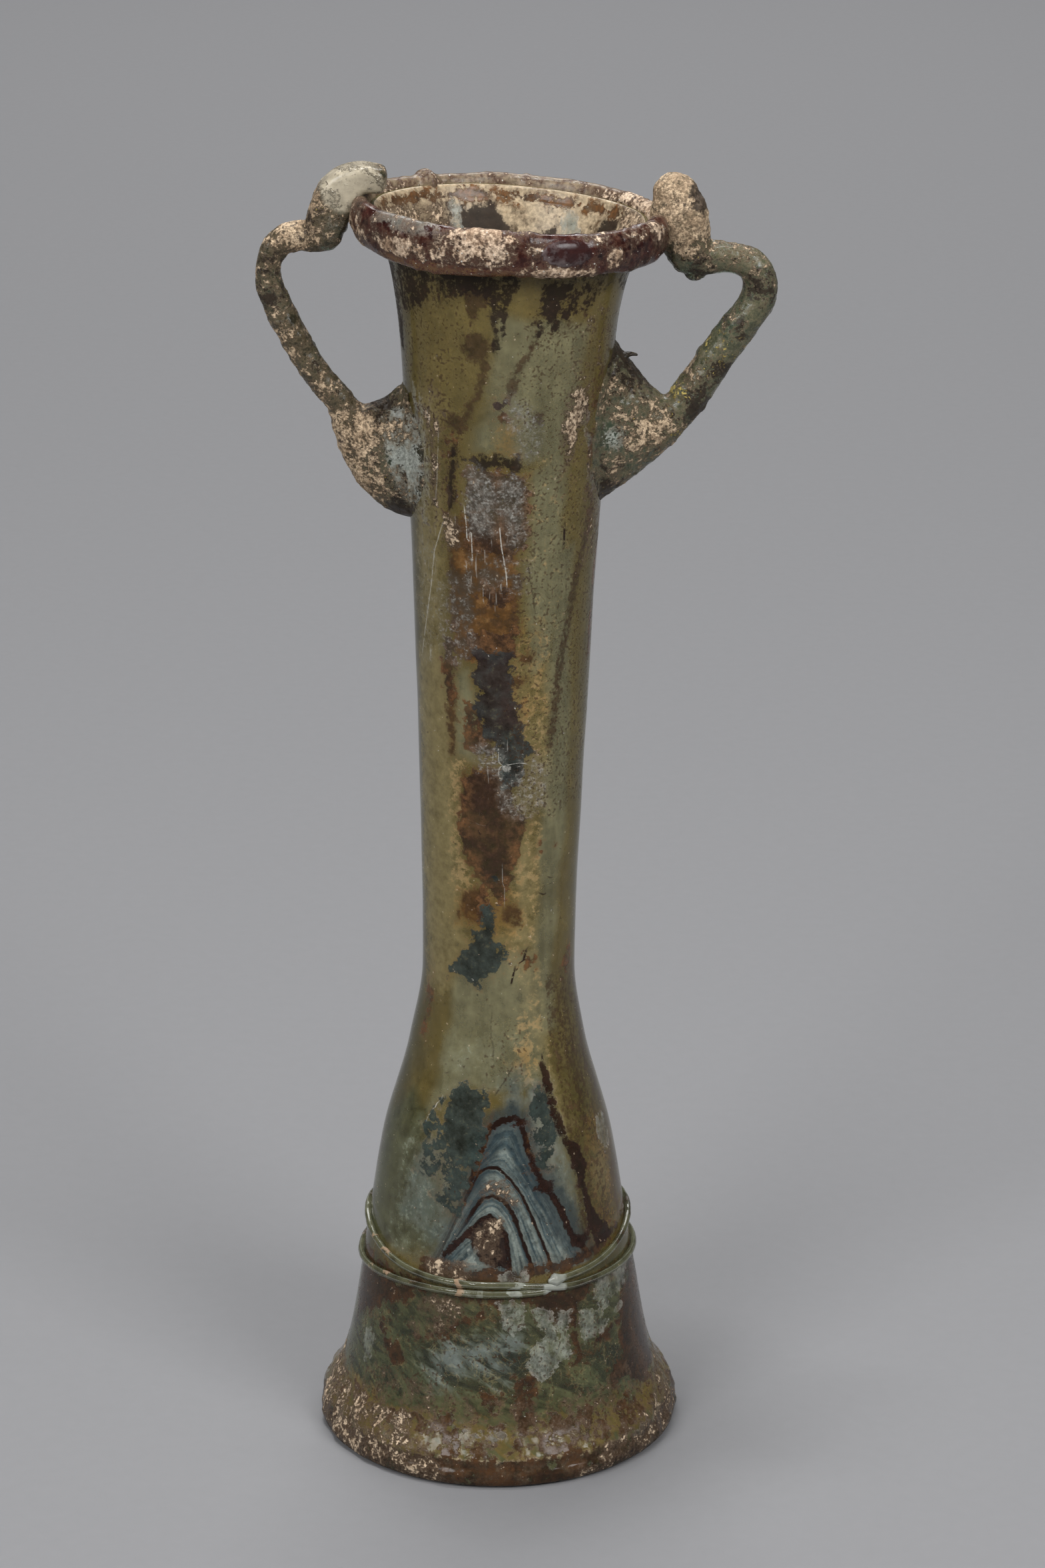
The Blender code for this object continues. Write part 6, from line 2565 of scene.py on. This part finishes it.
@dataclass
class Studio:
    """The pale floor, the soft lights and the camera."""

    camera_place: tuple[float, float, float] = (0.00075, -0.61587, 0.32002)
    camera_pitch: float = 0.347
    lens: float = 107.14
    sensor_width: float = 36.0
    floor_colour: Colour = (0.212, 0.212, 0.219)
    floor_near: float = -1.5
    floor_far: float = 1.6
    floor_bend: float = 1.0
    floor_half_width: float = 2.5
    wall_top: float = 2.6
    room_colour: Colour = (0.92, 0.95, 1.0)
    room_strength: float = 0.08

    def camera(self) -> None:
        """Sets the camera at the photograph's viewing angle."""
        data = bpy.data.cameras.new("camera")
        data.lens = self.lens
        data.sensor_width = self.sensor_width
        data.clip_start = 0.01
        camera = linked("camera", data)
        camera.location = self.camera_place
        camera.rotation_euler = (math.pi / 2.0 - self.camera_pitch, 0.0, 0.0)
        bpy.context.scene.camera = camera

    def floor(self) -> None:
        """Lays a pale floor that sweeps up behind."""
        outline = [(self.floor_near, 0.0), (self.floor_far, 0.0)]
        for angle in np.radians(np.arange(10, 91, 10)):
            outline.append((self.floor_far + self.floor_bend * math.sin(angle),
                            self.floor_bend - self.floor_bend * math.cos(angle)))
        outline.append((self.floor_far + self.floor_bend, self.wall_top))
        sides = (-self.floor_half_width, self.floor_half_width)
        points = np.array([(x, y, z) for y, z in outline for x in sides])
        faces = [(i * 2, i * 2 + 1, i * 2 + 3, i * 2 + 2) for i in range(len(outline) - 1)]
        floor = new_piece("studio_floor", points, faces, False)
        make = Recipe("matt_grey_paper")
        shade = make.tinted(self.floor_colour, 0.97 + 0.06 * make.grain(2.5, 3.0, 0.6))
        paper = make.node("ShaderNodeBsdfPrincipled", {}, {"Base Color": shade, "Roughness": 0.9}, "BSDF")
        make.end("ShaderNodeOutputMaterial", paper)
        floor.data.materials.append(make.material)
        floor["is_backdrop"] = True

    def light(self, name: str, place: tuple, size: tuple, power: float,
              target: tuple = (0.0, 0.0, 0.09)) -> None:
        """Hangs one soft box.

        Args:
            name: Its name.
            place: Where it hangs, in metres.
            size: Its width and height in metres.
            power: Its power in watts.
            target: The place that it faces.
        """
        data = bpy.data.lights.new(name, "AREA")
        data.shape = "RECTANGLE"
        data.size, data.size_y = size
        data.energy = power
        lamp = linked(name, data)
        lamp.location = place
        aim = np.array(target) - np.array(place)
        pitch = math.atan2(np.hypot(aim[0], aim[1]), -aim[2])
        lamp.rotation_euler = (pitch, 0.0, math.atan2(aim[1], aim[0]) - math.pi / 2.0)

    def lights(self) -> None:
        """Hangs the soft boxes and sets the even light of the room."""
        self.light("softbox_left", (-0.55, -0.75, 0.70), (0.45, 0.45), 6.5)
        self.light("softbox_right", (0.60, -0.65, 0.75), (0.45, 0.45), 7.0)
        self.light("softbox_key", (-0.05, 0.02, 0.90), (0.14, 0.08), 3.6)
        self.light("softbox_top", (0.0, -0.25, 0.95), (0.6, 0.5), 1.6)
        self.light("backdrop_wash", (0.0, 1.2, 1.2), (1.2, 0.5), 17.0, (0.0, 1.05, 0.0))
        world = bpy.data.worlds.new("room")
        world.use_nodes = True
        room = world.node_tree.nodes["Background"]
        room.inputs["Color"].default_value = (*self.room_colour, 1.0)
        room.inputs["Strength"].default_value = self.room_strength
        bpy.context.scene.world = world

    def build(self) -> None:
        """Sets up the whole studio."""
        self.camera()
        self.floor()
        self.lights()
        bpy.context.scene.view_settings.view_transform = "Standard"


def main() -> None:
    """Builds every piece in order."""
    logging.basicConfig(level=logging.INFO, format="%(name)s: %(message)s")
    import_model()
    cad_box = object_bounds()
    form = FlaskForm()
    setting = Setting.from_frame()
    Studio().build()
    builders = (
        Vessel(form, setting, WeatheredGlass()),
        LipCoil(form, setting, AubergineGlass()),
        BodyThread(form, setting, ThreadGlass()),
        left_handle(form, setting, cad_box),
        right_handle(form, setting, cad_box),
    )
    for builder in builders:
        piece = builder.build()
        piece.data.calc_loop_triangles()
        LOG.info("%s: %d triangles", piece.name, len(piece.data.loop_triangles))


if __name__ == "__main__":
    main()
